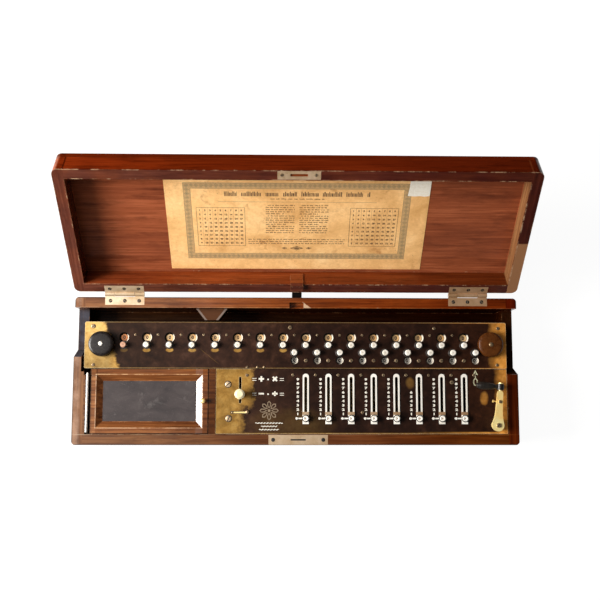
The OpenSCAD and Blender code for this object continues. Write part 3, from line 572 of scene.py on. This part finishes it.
MAHOGANY = ((0.07, 0.014, 0.004), (0.165, 0.037, 0.009), (0.27, 0.07, 0.018))
M = {
    "case_wood": wood("case_wood", *MAHOGANY, case_tints),
    "lid_wood": wood("lid_wood", *MAHOGANY, lid_tints, lid=True, spec=0.1),
    "dark_wood": wood("dark_wood", (0.062, 0.018, 0.006), (0.155, 0.05, 0.015), (0.28, 0.105, 0.03),
                      frame_tints, coat=0.05, spec=0.15),
    "plate": lacquer("plate_lacquer", plate_wear, haze=0.15, tone=0.85),
    "carriage": lacquer("carriage_lacquer", carriage_wear, haze=0.13, tone=1.15),
    "dial_metal": dial_metal(),
    "old_paper": paper(),
    "slate": slate(),
}
# metals: darkest and brightest tone, stain, share of metal, roughness
for key, *looks in (
        ("polished_brass", (0.95, 0.6, 0.18), (1.0, 0.86, 0.4), (0.5, 0.25, 0.07), 0.3, (0.22, 0.36)),
        ("works_brass", (0.3, 0.18, 0.06), (0.55, 0.37, 0.14), (0.14, 0.075, 0.03), 0.85, (0.3, 0.5)),
        ("works_steel", (0.3, 0.29, 0.27), (0.52, 0.51, 0.48), (0.15, 0.1, 0.07), 0.9, (0.25, 0.45))):
    M[key] = metal(key, *looks)
M["screw"] = metal("screw_steel", (0.17, 0.105, 0.055), (0.4, 0.29, 0.17), (0.08, 0.045, 0.025),
                   0.7, (0.3, 0.5))
M["pale_brass"] = metal("pale_brass", (0.52, 0.36, 0.2), (0.8, 0.63, 0.44), (0.3, 0.16, 0.08),
                        0.6, (0.3, 0.48), fade=(0.78, 0.62, 0.52))
M["white_metal"] = metal("white_metal", (0.8, 0.75, 0.66), (0.95, 0.93, 0.87), (0.5, 0.38, 0.24),
                         0.1, (0.28, 0.44), (20, 200, 20), stained=0.35)
# polished surfaces: darkest and brightest tone, roughness, rubbed tone, coat, rubbing, gloss
for key, *looks in (
        ("black_grip", (0.008, 0.007, 0.006), (0.02, 0.016, 0.013), (0.3, 0.45), (0.09, 0.06, 0.045),
         0.12, 0.5, 0.35),
        ("black_knob", (0.008, 0.006, 0.006), (0.02, 0.016, 0.015), (0.22, 0.36), (0.16, 0.13, 0.11),
         0.0, 0.5, 0.3),
        ("brown_knob", (0.045, 0.012, 0.002), (0.105, 0.03, 0.004), (0.22, 0.36), (0.4, 0.22, 0.07),
         0.0, 0.5, 0.3),
        ("ivory", (0.66, 0.54, 0.28), (0.9, 0.82, 0.56), (0.2, 0.36), (0.5, 0.38, 0.2), 0.3, 0.2),
        ("black_metal", (0.006, 0.005, 0.005), (0.016, 0.012, 0.01), (0.35, 0.55), (0.1, 0.07, 0.05))):
    M[key] = gloss(key, *looks)
M["pencil"] = gloss("slate_pencil", (0.6, 0.58, 0.54), (0.86, 0.85, 0.82), (0.45, 0.65),
                    (0.5, 0.47, 0.43), 0.0, 0.2)
# inks and fillings: fresh tone, faded tone, share that faded
for key, *looks in (
        ("white_fill", (0.86, 0.83, 0.74), (0.5, 0.44, 0.34), 0.7),
        ("faded_fill", (0.27, 0.2, 0.13), (0.06, 0.04, 0.024), 0.85),
        ("green_fill", (0.62, 0.6, 0.4), (0.2, 0.19, 0.11), 0.8),
        ("ink", (0.07, 0.045, 0.025), (0.3, 0.17, 0.07), 0.8),
        ("grey_ink", (0.27, 0.2, 0.105), (0.5, 0.3, 0.12), 0.8),
        ("band_ink", (0.46, 0.3, 0.14), (0.62, 0.37, 0.15), 0.9),
        ("dial_ink", (0.02, 0.012, 0.008), (0.12, 0.06, 0.03), 0.5),
        ("white_paper", (0.86, 0.82, 0.72), (0.74, 0.66, 0.52), 0.8)):
    M[key] = print_ink(key, *looks)


def dress(node, key):
    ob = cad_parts[node]
    ob.data.materials.clear()
    ob.data.materials.append(M[key])


for node, key in {
    "case_boards": "case_wood", "case_fittings": "pale_brass", "machine_plate": "plate",
    "slot_frames": "white_metal", "chassis": "works_brass", "lid_boards": "lid_wood",
    "lid_paper": "old_paper", "lid_fittings": "pale_brass", "slate_frame": "dark_wood",
    "slate_panel": "slate", "crank_arm": "polished_brass", "crank_handle": "black_grip",
    "cross_shaft": "works_steel", "mode_lever": "ivory", "reverser_bar": "works_brass",
    "carriage_plate": "carriage", "carriage_runner": "works_steel",
    "clear_knob_left": "black_knob", "clear_knob_right": "brown_knob",
}.items():
    dress(node, key)
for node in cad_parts:
    if "_dial_" in node:
        dress(node, "dial_metal")
    elif node.startswith("setting_slider"):
        dress(node, "white_metal")
    elif node.startswith("stepped_drum"):
        dress(node, "works_brass")


# mesh helpers, all in millimetres

class Piece:
    """One object gathered from turned, extruded and lettered forms."""

    def __init__(self, name, body, slot, *keys, place=None):
        self.bm = bmesh.new()
        self.name, self.body, self.slot, self.keys = name, body, slot, keys
        self.place = place or Matrix.Identity(4)

    def ring(self, pts):
        return [self.bm.verts.new(p) for p in pts]

    def face(self, verts, mat=0, smooth=False):
        f = self.bm.faces.new(verts)
        f.material_index = mat
        f.smooth = smooth

    def flat(self, outline, z, mat=0):
        """One face at height z."""
        self.face(self.ring([(x, y, z) for x, y in outline]), mat)

    def lathe(self, profile, at, seg, mat=0, turn=None, teeth=0, depth=0.0):
        """Turns a list of (radius, height) about Z; teeth cut the rim where radius is largest."""
        big = max(r for r, _ in profile)
        rows = []
        for r, h in profile:
            row = []
            for i in range(seg):
                a = 2 * math.pi * i / seg
                q = r
                if teeth and r > big - 0.7:
                    q = r - depth * (0.5 + 0.5 * math.cos(a * teeth))
                p = Vector((q * math.cos(a), q * math.sin(a), h))
                if turn:
                    p = turn @ p
                row.append(p + Vector(at))
            rows.append(self.ring(row))
        for a, b in zip(rows, rows[1:]):
            for i in range(seg):
                j = (i + 1) % seg
                self.face((a[i], a[j], b[j], b[i]), mat, True)
        self.face(rows[-1], mat)
        self.face(rows[0][::-1], mat)

    def prism(self, outline, z0, z1, mat=0, turn=None, at=(0, 0, 0), draft=0.0):
        """Raises a flat outline; draft draws the top in a little, for a softened edge."""
        c = sum((Vector((*p, 0)) for p in outline), Vector()) / len(outline)
        low, top = [], []
        for p in outline:
            v = Vector((*p, 0))
            w = v - (v - c).normalized() * draft if draft else v
            low.append(Vector((v.x, v.y, z0)))
            top.append(Vector((w.x, w.y, z1)))
        if turn:
            low, top = [turn @ p for p in low], [turn @ p for p in top]
        low = self.ring([p + Vector(at) for p in low])
        top = self.ring([p + Vector(at) for p in top])
        self.face(top, mat)
        self.face(low[::-1], mat)
        for i in range(len(low)):
            j = (i + 1) % len(low)
            self.face((low[i], low[j], top[j], top[i]), mat)

    def bar(self, x0, y0, x1, y1, z0, z1, mat=0, draft=0.0):
        self.prism([(x0, y0), (x1, y0), (x1, y1), (x0, y1)], z0, z1, mat, draft=draft)

    def screw(self, x, y, z, r, high, angle, mat=0, dark=1):
        """Cheese-head screw with a chamfered rim and a cut slot."""
        head = [(r * 0.98, -0.4), (r, high * 0.55), (r * 0.86, high * 0.9), (r * 0.5, high),
                (0.02, high * 1.02)]
        self.lathe(head, (x, y, z), 24, mat)
        c, s = math.cos(angle), math.sin(angle)
        t = Matrix(((c, -s, 0), (s, c, 0), (0, 0, 1)))
        w, long = max(0.22, r * 0.17), r * 0.93
        slot = [(-long, -w), (long, -w), (long, w), (-long, w)]
        self.prism(slot, high * 0.9, high * 1.04, dark, t, (x, y, z))

    def text(self, word, x, y, z, size, turn=None, wide=1.0):
        """Lays filled numerals or signs just above height z."""
        t = turn or Matrix.Identity(3)
        for poly in glyphs(word):
            pts = [Vector((px * size * wide, py * size, 0)) for px, py in poly]
            self.face(self.ring([t @ p + Vector((x, y, z + FILL)) for p in pts]))

    def done(self):
        me = bpy.data.meshes.new(self.name)
        self.bm.transform(Matrix.Scale(MM, 4) @ self.place)
        self.bm.normal_update()
        self.bm.to_mesh(me)
        self.bm.free()
        for k in self.keys:
            me.materials.append(M[k])
        ob = bpy.data.objects.new(self.name, me)
        bpy.context.scene.collection.objects.link(ob)
        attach(ob, self.body)
        return ob


FILL = 0.06
GLYPHS = {}


def glyphs(word):
    """Filled outlines of plain numerals and signs, centred, one unit high for a numeral."""
    if word not in GLYPHS:
        cu = bpy.data.curves.new("numeral", "FONT")
        cu.body = word
        cu.align_x = "CENTER"
        cu.align_y = "CENTER"
        cu.size = 1.38
        cu.offset = 0.07
        cu.resolution_u = 3
        ob = bpy.data.objects.new("numeral", cu)
        me = ob.to_mesh()
        at = [tuple(v.co.xy) for v in me.vertices]
        GLYPHS[word] = [[at[i] for i in p.vertices] for p in me.polygons]
        ob.to_mesh_clear()
        bpy.data.objects.remove(ob)
        bpy.data.curves.remove(cu)
    return GLYPHS[word]


def turn_z(a):
    return Matrix.Rotation(a, 3, "Z")


def oval(cx, cy, rx, ry, n=24):
    turns = [2 * math.pi * i / n for i in range(n)]
    return [(cx + rx * math.cos(a), cy + ry * math.sin(a)) for a in turns]


# closed lid to rest pose, and the sheet's own plane (u right, v up, n out) on the closed lid
OPENED = (Matrix.Translation((0, HINGE_Y, HINGE_Z)) @ Matrix.Rotation(-LID_OPEN, 4, "X")
          @ Matrix.Translation((0, -HINGE_Y, -HINGE_Z)))
FLIP = Matrix.Rotation(math.pi, 4, "X")
SHEET = OPENED @ Matrix.Translation((-1, 0, 97.1)) @ FLIP
LID_RIM = OPENED @ Matrix.Translation((0, 0, 71.0)) @ FLIP


# numerals beside the setting slots
marks = Piece("plate_numerals", "case", "white_metal", "white_fill")
for x in SLOTS:
    # the top three beside the sixth slot are rubbed off
    for d in range(1, 7 if x == SLOTS[5] else 10):
        marks.text(str(d), x - 10.5, SLIDER_Y + STEP * d, PLATE_Z, 3.0, wide=1.6)
marks.done()

# signs of the two modes, each pair between short double rules
signs = Piece("mode_signs", "case", "white_metal", "white_fill")
for y, pair in ((-11.5, ("+", "\u00d7")), (-31.0, ("\u2212", "\u00f7"))):
    for x, s in zip((-47, -29), pair):
        signs.text(s, x, y, PLATE_Z, 9)
    signs.prism(oval(-38, y, 1.1, 1.1, 16), PLATE_Z, PLATE_Z + FILL)
    for x0, x1 in ((-59, -53.5), (-22.5, -17)):
        for dy in (-1.3, 1.3):
            signs.bar(x0, y + dy - 0.35, x1, y + dy + 0.35, PLATE_Z, PLATE_Z + FILL)
signs.done()

# plain rosette of eight petals over three lines of running scrolls
rose = Piece("plate_rosette", "case", "white_metal", "faded_fill", "white_fill")
ROSE_X, ROSE_Y, ROSE_Z = -36.5, -52.6, PLATE_Z + 0.05
petal = [(2.8, 0), (6.2, 2.3), (10.3, 2.6), (12.8, 0), (10.3, -2.6), (6.2, -2.3)]
inner = [(4.4, 0), (6.6, 1.2), (9.8, 1.5), (11.2, 0), (9.8, -1.5), (6.6, -1.2)]
for k in range(8):
    turn = turn_z(k * math.pi / 4)
    for i in range(6):
        j = (i + 1) % 6
        quad = [turn @ Vector((*q, 0)) for q in (petal[i], petal[j], inner[j], inner[i])]
        rose.face(rose.ring([q + Vector((ROSE_X, ROSE_Y, ROSE_Z)) for q in quad]))
rose.prism(oval(ROSE_X, ROSE_Y, 1.9, 1.9, 20), PLATE_Z, PLATE_Z + FILL)
for i, half in enumerate((18, 10.5, 13)):
    y = -69.0 - 4.3 * i
    wave = []
    steps = int(half * 4)
    for k in range(steps + 1):
        a = math.pi * k / 4
        x = ROSE_X - half + 2 * half * k / steps + 0.5 * math.sin(2 * a)
        wave.append(Vector((x, y + 1.05 * math.sin(a))))
    for p0, p1 in zip(wave, wave[1:]):
        d = p1 - p0
        s = Vector((-d.y, d.x)).normalized() * (0.6 if d.y > 0 else 0.4)
        rose.flat((p0 + s, p0 - s, p1 - s, p1 + s), ROSE_Z, 1)
rose.done()

# home mark: an open arrow over a small wreath
arrow = Piece("home_arrow", "case", "white_metal", "green_fill")
ARROW_X = 238.8
tip = [(0, 1.4), (3.4, -5.2), (2.0, -5.2), (0, -1.2), (-2.0, -5.2), (-3.4, -5.2)]
arrow.prism([(ARROW_X + x, y) for x, y in tip], PLATE_Z, PLATE_Z + 0.07)
arrow.bar(ARROW_X - 2.0, -4.3, ARROW_X + 2.0, -3.4, PLATE_Z, PLATE_Z + FILL)
arrow.bar(ARROW_X - 0.55, -9.5, ARROW_X + 0.55, -3.4, PLATE_Z, PLATE_Z + FILL)
for x, y in oval(ARROW_X, -14.6, 2.5, 4.4, 14):
    arrow.prism(oval(x, y, 0.95, 0.7, 8), PLATE_Z, PLATE_Z + FILL)
arrow.done()

# screws of the fixed plate, two of them in black cups
fit = Piece("plate_screws", "case", "works_steel", "screw", "black_metal", "pale_brass")
for x, y, a in ((-91, -18, 0.7), (-90, -63, 1.2)):
    fit.lathe([(4.7, 0), (4.7, 0.08), (4.3, 0.12), (3.6, 0.12)], (x, y, PLATE_Z), 32, 1)
    fit.screw(x, y, PLATE_Z, 3.9, 0.8, a, 2)
fit.screw(-66, -6, PLATE_Z, 2.2, 0.5, 0.2)
for i, x in enumerate(SLOTS):
    fit.screw(x - PITCH / 2 - 2, -5.6, PLATE_Z, 2.0, 0.4, 0.4 + i)
fit.screw(SLOTS[7] + 13.5, -5.6, PLATE_Z, 2.0, 0.4, 0.9)
fit.screw(SLOTS[2] + 15, -55, PLATE_Z, 2.2, 0.4, 2.1)
fit.screw(207, -15, PLATE_Z, 2.6, 0.4, 0.3)
fit.done()

# spring catch with its button and rivet
catch = Piece("spring_catch", "case", "works_brass", "polished_brass", "black_metal", "screw")
catch.bar(-87.5, -56.6, -66, -53.4, PLATE_Z, PLATE_Z + 0.12, 1)
tongue = [(-86.5, -55.9), (-68, -56.1), (-64.5, -55.6), (-64.5, -54.2), (-68, -53.9), (-86.5, -54.3)]
catch.prism(tongue, PLATE_Z + 0.2, PLATE_Z + 1.0, 0, draft=0.25)
catch.lathe([(2.6, 0), (2.6, 0.9), (2.1, 1.6), (1.0, 1.9), (0.02, 2.0)], (-65.2, -54.6, PLATE_Z), 24, 2)
catch.lathe([(1.2, 0), (1.2, 0.5), (0.9, 0.7), (0.02, 0.75)], (-85, -55.1, PLATE_Z + 0.9), 16, 2)
catch.done()

# carriage: screws between and below the windows, corner screws, two studs at the front
top = Piece("carriage_screws", "carriage", "works_steel", "screw", "black_metal")
for i, (a, b) in enumerate(zip(DIALS, DIALS[1:])):
    top.screw((a + b) / 2, 47.5, CARRIAGE_Z, 1.7, 0.4, i * 0.7)
for i, x in enumerate(DIALS[8:]):
    top.screw(x, 13.6, CARRIAGE_Z, 2.5, 0.45, 0.3 + i)
for x, y, r in ((-270.5, 58.6, 3.0), (270, 57, 2.4), (-269.5, 7.4, 2.2), (268, 8, 2.2),
                (-9, 57.5, 2.8), (184, 57, 2.2), (-66, 4.6, 1.8)):
    top.screw(x, y, CARRIAGE_Z, r, 0.5, x * 0.3)
for x in (-52.5, -43.5):
    top.lathe([(1.7, 0), (1.7, 0.3), (1.2, 0.6), (0.02, 0.7)], (x, 4.6, CARRIAGE_Z), 20, 0)
top.done()

# dark rings round the pegs: painted shade of the holes they stand in
shade_rings = Piece("peg_shade_rings", "carriage", "black_knob", "black_metal")
for pts, y in ((DIALS, RESULT_Y), (COUNTS, COUNTER_Y)):
    for x in pts:
        shade_rings.lathe([(5.7, 0), (5.7, 0.12), (5.2, 0.22), (2.6, 0.22)], (x, y, CARRIAGE_Z), 32, 0)
shade_rings.done()

# numeral rings on the dials, upright in the windows
for names, xs, y, z, radius, base in (
        ([f"result_dial_{k:02d}" for k in range(1, 17)], DIALS, RESULT_Y, RESULT_Z, RESULT_R, math.pi / 2),
        ([f"counter_dial_{k}" for k in range(1, 10)], COUNTS, COUNTER_Y, COUNTER_Z, COUNTER_R, -math.pi / 2)):
    for name, x in zip(names, xs):
        p = Piece(name + "_numerals", name, "dial_metal", "dial_ink")
        for d in range(10):
            a = base + 2 * math.pi * d / 10
            at = x + radius * math.cos(a), y + radius * math.sin(a)
            p.text(str(d), *at, z, 4.6, turn=turn_z(a - base))
        p.done()

# clearing knobs with a fluted rim and a small centre pin
KNOB = [(3, -13.9), (3, 0.5), (15.4, 0.5), (16.4, 1.0), (16.8, 1.7), (16.8, 4.2), (16.8, 7.6),
        (16.4, 8.6), (15.6, 9.3), (12.6, 9.7), (6, 9.95), (3.2, 10), (0.05, 10)]
PIN = [(2.9, 9.8), (2.9, 10.3), (2.3, 10.8), (1.2, 11.05), (0.02, 11.1)]
for name, kx, key, pin in (
        ("left", LEFT_KNOB_X, "black_knob", "white_metal"), ("right", RIGHT_KNOB_X, "brown_knob", "screw")):
    k = Piece(f"clear_knob_{name}_fluted", f"clear_{name}", "black_knob", key, pin)
    k.lathe(KNOB, (kx, KNOB_Y, CARRIAGE_Z), 240, 0, teeth=60, depth=0.55)
    k.lathe(PIN, (kx, KNOB_Y, CARRIAGE_Z), 24, 1)
    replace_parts(k.done(), f"clear_knob_{name}")

# slider buttons: a dished cap in a dark ring, and the brown block behind it
RING = [(5.0, 4.6), (5.0, 4.9), (4.6, 5.05), (3.6, 5.05)]
DISH = [(3.8, 4.9), (3.8, 5.3), (3.4, 5.55), (2.5, 5.65), (2.1, 5.4), (0.02, 5.25)]
for i, x in enumerate(SLOTS):
    cap = Piece(f"slider_cap_{i + 1}", f"setting_slider_{i + 1}", "white_metal",
                "white_metal", "black_metal", "pale_brass")
    cap.lathe(RING, (x, SLIDER_Y, PLATE_Z), 32, 1)
    cap.lathe(DISH, (x, SLIDER_Y, PLATE_Z), 32, 0)
    cap.prism(oval(x, SLIDER_Y, 0.9, 0.9, 16), PLATE_Z + 5.1, PLATE_Z + 5.4, 2)
    cap.bar(x - 4.5, -58.2, x + 4.5, -54.2, PLATE_Z + 0.9, PLATE_Z + 1.9, 2, draft=0.3)
    cap.done()

# crank: hub screw and stud cap
cs = Piece("crank_screw", "crank", "polished_brass", "screw", "black_metal")
cs.screw(CRANK_X, CRANK_Y, 80.5, 3.1, 0.9, 0.9)
cs.lathe([(2.1, 0), (2.1, 0.5), (1.5, 0.9), (0.02, 1.0)], (267.7, -40.62, 80.4), 24, 0)
cs.done()

# screws of the case's hinge leaves and lock plate, and a black bar in the lock's slot as painted shade
hs = Piece("case_fitting_screws", "case", "pale_brass", "screw", "black_metal")
for s in (-1, 1):
    for i, dx in enumerate(HINGE_SCREWS):
        hs.screw(s * HINGE_X + dx, 92.5, 69.4, 2.45, 0.55, 0.4 + i * s, 1, 0)
for x, a in ((-31, 0.6), (35, 2.0)):
    hs.screw(x, -90.7, 69.9, 2.6, 0.35, a, 1, 1)
hs.bar(-8, -91.7, 12, -89.7, 68.6, 68.9, 1)
hs.done()

# screws of the lid's hinge leaves and strike plate
ls = Piece("lid_fitting_screws", "lid", "pale_brass", "screw", "black_metal", place=LID_RIM)
for s in (-1, 1):
    for i, dx in enumerate(HINGE_SCREWS):
        ls.screw(s * HINGE_X + dx, -92.5, 0, 2.45, 0.55, 0.9 + i * s, 1, 0)
for x, a in ((-20.5, 0.4), (20.5, 1.4)):
    ls.screw(x, 91.2, 0.55, 2.3, 0.3, a)
ls.done()

# turned cap of the slate's pull knob
pull = Piece("slate_pull_cap", "slate", "polished_brass", "polished_brass")
pull.lathe([(1.7, 67.0), (1.7, 69.8), (2.6, 70.4), (3.45, 71.4), (3.6, 72.4), (3.3, 73.6), (2.3, 74.5),
            (0.02, 74.8)], (-123.5, -40, 0), 32, 0)
pull.done()

# wooden cap over the rear end of the slate's hinge rod
rod_cap = Piece("hinge_rod_cap", "case", "dark_wood", "dark_wood")
cap_outline = [(-272.6, -6.6), (-264.5, -6.6), (-264.5, 1.6), (-265.1, 2.2), (-272.0, 2.2), (-272.6, 1.6)]
rod_cap.prism(cap_outline, 66.2, 67.0, draft=0.25)
rod_cap.done()

# slate pencil on its ledge
pencil = Piece("slate_pencil", "case", "slate", "pencil")
lie = Matrix(((1, 0, 0), (0, 0, -1), (0, 1, 0)))
pencil.lathe([(0.8, -0.5), (1.6, 1), (1.9, 2.6), (1.95, 40), (1.92, 77), (1.7, 77.8), (0.02, 78)],
             (-276.5, -3.4, 68.0), 20, 0, turn=lie)
pencil.done()

# printed sheet: ruled border with lozenges, a table of products at each side, ruled lines of print between
sheet = Piece("sheet_print", "lid", "old_paper", "ink", "grey_ink", "band_ink", place=SHEET)
INK_Z, BAND_Z = 0.05, 0.025
BORDER_X, BORDER_Y = 143.0, 61.0
BAND, MIDDLE = 9, 4.3
INSET = 2 * MIDDLE


def rule(x0, y0, x1, y1, mat=0, z=INK_Z):
    sheet.flat([(x0, y0), (x1, y0), (x1, y1), (x0, y1)], z, mat)


def frame_rule(x0, y0, x1, y1, t, mat=0):
    rule(x0, y0, x1, y0 + t, mat)
    rule(x0, y1 - t, x1, y1, mat)
    rule(x0, y0 + t, x0 + t, y1 - t, mat)
    rule(x1 - t, y0 + t, x1, y1 - t, mat)


def lozenge(x, y, rx, ry, mat=1):
    """Outlined lozenge with a solid one inside."""
    def corners(k):
        return [(x - rx * k, y), (x, y - ry * k), (x + rx * k, y), (x, y + ry * k)]

    out, hole = corners(1.0), corners(0.72)
    for i in range(4):
        j = (i + 1) % 4
        sheet.flat([out[i], out[j], hole[j], hole[i]], INK_Z, mat)
    sheet.flat(corners(0.52), INK_Z, mat)


for corners in (
        (-BORDER_X, -BORDER_Y, BORDER_X, -BORDER_Y + BAND),
        (-BORDER_X, BORDER_Y - BAND, BORDER_X, BORDER_Y),
        (-BORDER_X, -BORDER_Y + BAND, -BORDER_X + BAND, BORDER_Y - BAND),
        (BORDER_X - BAND, -BORDER_Y + BAND, BORDER_X, BORDER_Y - BAND)):
    rule(*corners, 2, BAND_Z)
frame_rule(-BORDER_X, -BORDER_Y, BORDER_X, BORDER_Y, 0.7, 1)
frame_rule(-BORDER_X + INSET, -BORDER_Y + INSET, BORDER_X - INSET, BORDER_Y - INSET, 0.6, 1)
LONG, SHORT = BORDER_X - MIDDLE, BORDER_Y - MIDDLE
ACROSS, UP = 46, 18
for i in range(ACROSS):
    for v in (-SHORT, SHORT):
        lozenge(-LONG + 2 * LONG * i / (ACROSS - 1), v, 2.9, 3.2)
for i in range(1, UP):
    for u in (-LONG, LONG):
        lozenge(u, -SHORT + 2 * SHORT * i / UP, 3.2, 2.9)


def print_line(x0, x1, y, h, words=(2.0, 6.5), gap=1.3, bold=1.0):
    """A line of print too small to read: short bars of uneven length."""
    x = x0
    while x < x1 - 1:
        w = min(random.uniform(*words), x1 - x)
        k = x
        while k < x + w - 0.5:
            t = min(random.uniform(0.5, 0.9) * bold, x + w - k)
            up = random.choice((0, 0, 0.35)) * h
            rule(k, y - h * 0.5, k + t, y + h * 0.5 + up)
            k += t + 0.34 * bold ** 1.4
        x += w + gap


# heading
print_line(-92, 92, 43.2, 5.2, (11, 26), 5.5, 1.7)
print_line(-34, 34, 36.4, 1.1, (3, 9), 2)
rule(-100, 31.6, 100, 32.1, 1)
# tables of products
CELL, DIGIT = 6.6, 2.6
for cx in (-98, 98):
    x0, y0 = cx - 29, -38
    y1 = y0 + 9 * CELL + 1.5
    frame_rule(x0 - 1.5, y0 - 1.5, x0 + 9 * CELL + 1, y1, 0.45)
    for i in range(1, 10):
        if i > 1:
            left = x0 + (i - 1) * CELL - 0.5
            rule(left, y0 - 1.5, left + 0.25, y1, 1)
        for j in range(1, 10):
            u, v = x0 + (i - 0.5) * CELL - 0.4, y0 + (9 - j) * CELL + 3.3
            for poly in glyphs(str(i * j)):
                sheet.flat([(u + px * DIGIT, v + py * DIGIT) for px, py in poly], INK_Z)
# two columns of paragraphs of five lines, and three long lines below them
for c in (-40, 3):
    for r in range(14):
        end = c + 37 if r % 5 != 4 else c + random.uniform(14, 28)
        print_line(c + (2.5 if r % 5 == 0 else 0), end, 26.5 - 3.35 * r, 1.25)
for r in range(3):
    print_line(-63, 63, -28.5 - 3.4 * r, 1.25)
lozenge(0, -43, 9, 3.4, 0)
for u in (-16, 16):
    lozenge(u, -43, 4, 2, 0)
sheet.done()

# torn paper patch on the sheet's upper right corner
patch = Piece("sheet_patch", "lid", "old_paper", "white_paper", place=SHEET)
torn = [(138.6, 42.6), (147, 41.8), (153.5, 42.4), (160, 41.7), (166, 42.5), (166.3, 55), (166.1, 68.5),
        (166.4, 78.6), (158, 79), (150, 78.7), (141.6, 79), (140.4, 70), (139.9, 56)]
patch.prism(torn, 0.02, 0.14, 0)
patch.done()

# light, floor and camera
scene = bpy.context.scene
scene.view_settings.view_transform = "Standard"
world = bpy.data.worlds.new("studio")
scene.world = world
world.use_nodes = True
sky = world.node_tree.nodes["Background"].inputs
sky[0].default_value = (1, 0.99, 0.97, 1)
sky[1].default_value = 0.09


def area(name, at, aim, w, h, power):
    li = bpy.data.lights.new(name, "AREA")
    li.shape = "RECTANGLE"
    li.size, li.size_y = w, h
    li.energy = power
    li.color = (1, 0.97, 0.93)
    ob = bpy.data.objects.new(name, li)
    scene.collection.objects.link(ob)
    ob.location = at
    ob.rotation_euler = (Vector(aim) - Vector(at)).to_track_quat("-Z", "Y").to_euler()


area("key_left", (-1.55, 0.03, 0.98), (-0.1, 0.0, 0.05), 0.9, 0.9, 78)
area("soft_top", (-0.98, 0.15, 2.3), (-0.4, 0, 0), 1.1, 1.4, 9)

FLOOR, FLOOR_Z = 60, -0.0005
corners = ((-1, -1), (1, -1), (1, 1), (-1, 1))
floor_mesh = bpy.data.meshes.new("floor")
floor_mesh.from_pydata([(u * FLOOR, v * FLOOR, FLOOR_Z) for u, v in corners], [], [(0, 1, 2, 3)])
floor = bpy.data.objects.new("floor", floor_mesh)
scene.collection.objects.link(floor)
net = Net("floor_white")
lp = net.add("ShaderNodeLightPath").outputs
seen = net.any(lp["Is Camera Ray"], lp["Is Glossy Ray"], lp["Is Transmission Ray"])
glow = net.add("ShaderNodeEmission", {"Color": (1, 1, 1), "Strength": 1.1}).outputs[0]
pale = net.ramp(net.noise(net.coords(), 3), (0.3, (0.88, 0.88, 0.87)), (0.7, (0.92, 0.92, 0.91)))
matt = net.add("ShaderNodeBsdfDiffuse", {"Color": pale}).outputs[0]
both = net.add("ShaderNodeMixShader", {0: net.mul(seen, 0.86), 1: matt, 2: glow}).outputs[0]
out = net.add("ShaderNodeOutputMaterial")
net.tree.links.new(both, out.inputs[0])
floor_mesh.materials.append(net.mat)

FRAME_SIDE = 600
cam = bpy.data.cameras.new("camera")
cam.lens = 53.62
cam.sensor_width = 36
cam.shift_x = -1.2 / FRAME_SIDE
cam.shift_y = -3.5 / FRAME_SIDE
eye = bpy.data.objects.new("camera", cam)
scene.collection.objects.link(eye)
eye.location = (-0.02085, -0.0395, 1.25915)
eye.rotation_euler = (0.1160, -0.0225, 0.0012)
scene.camera = eye
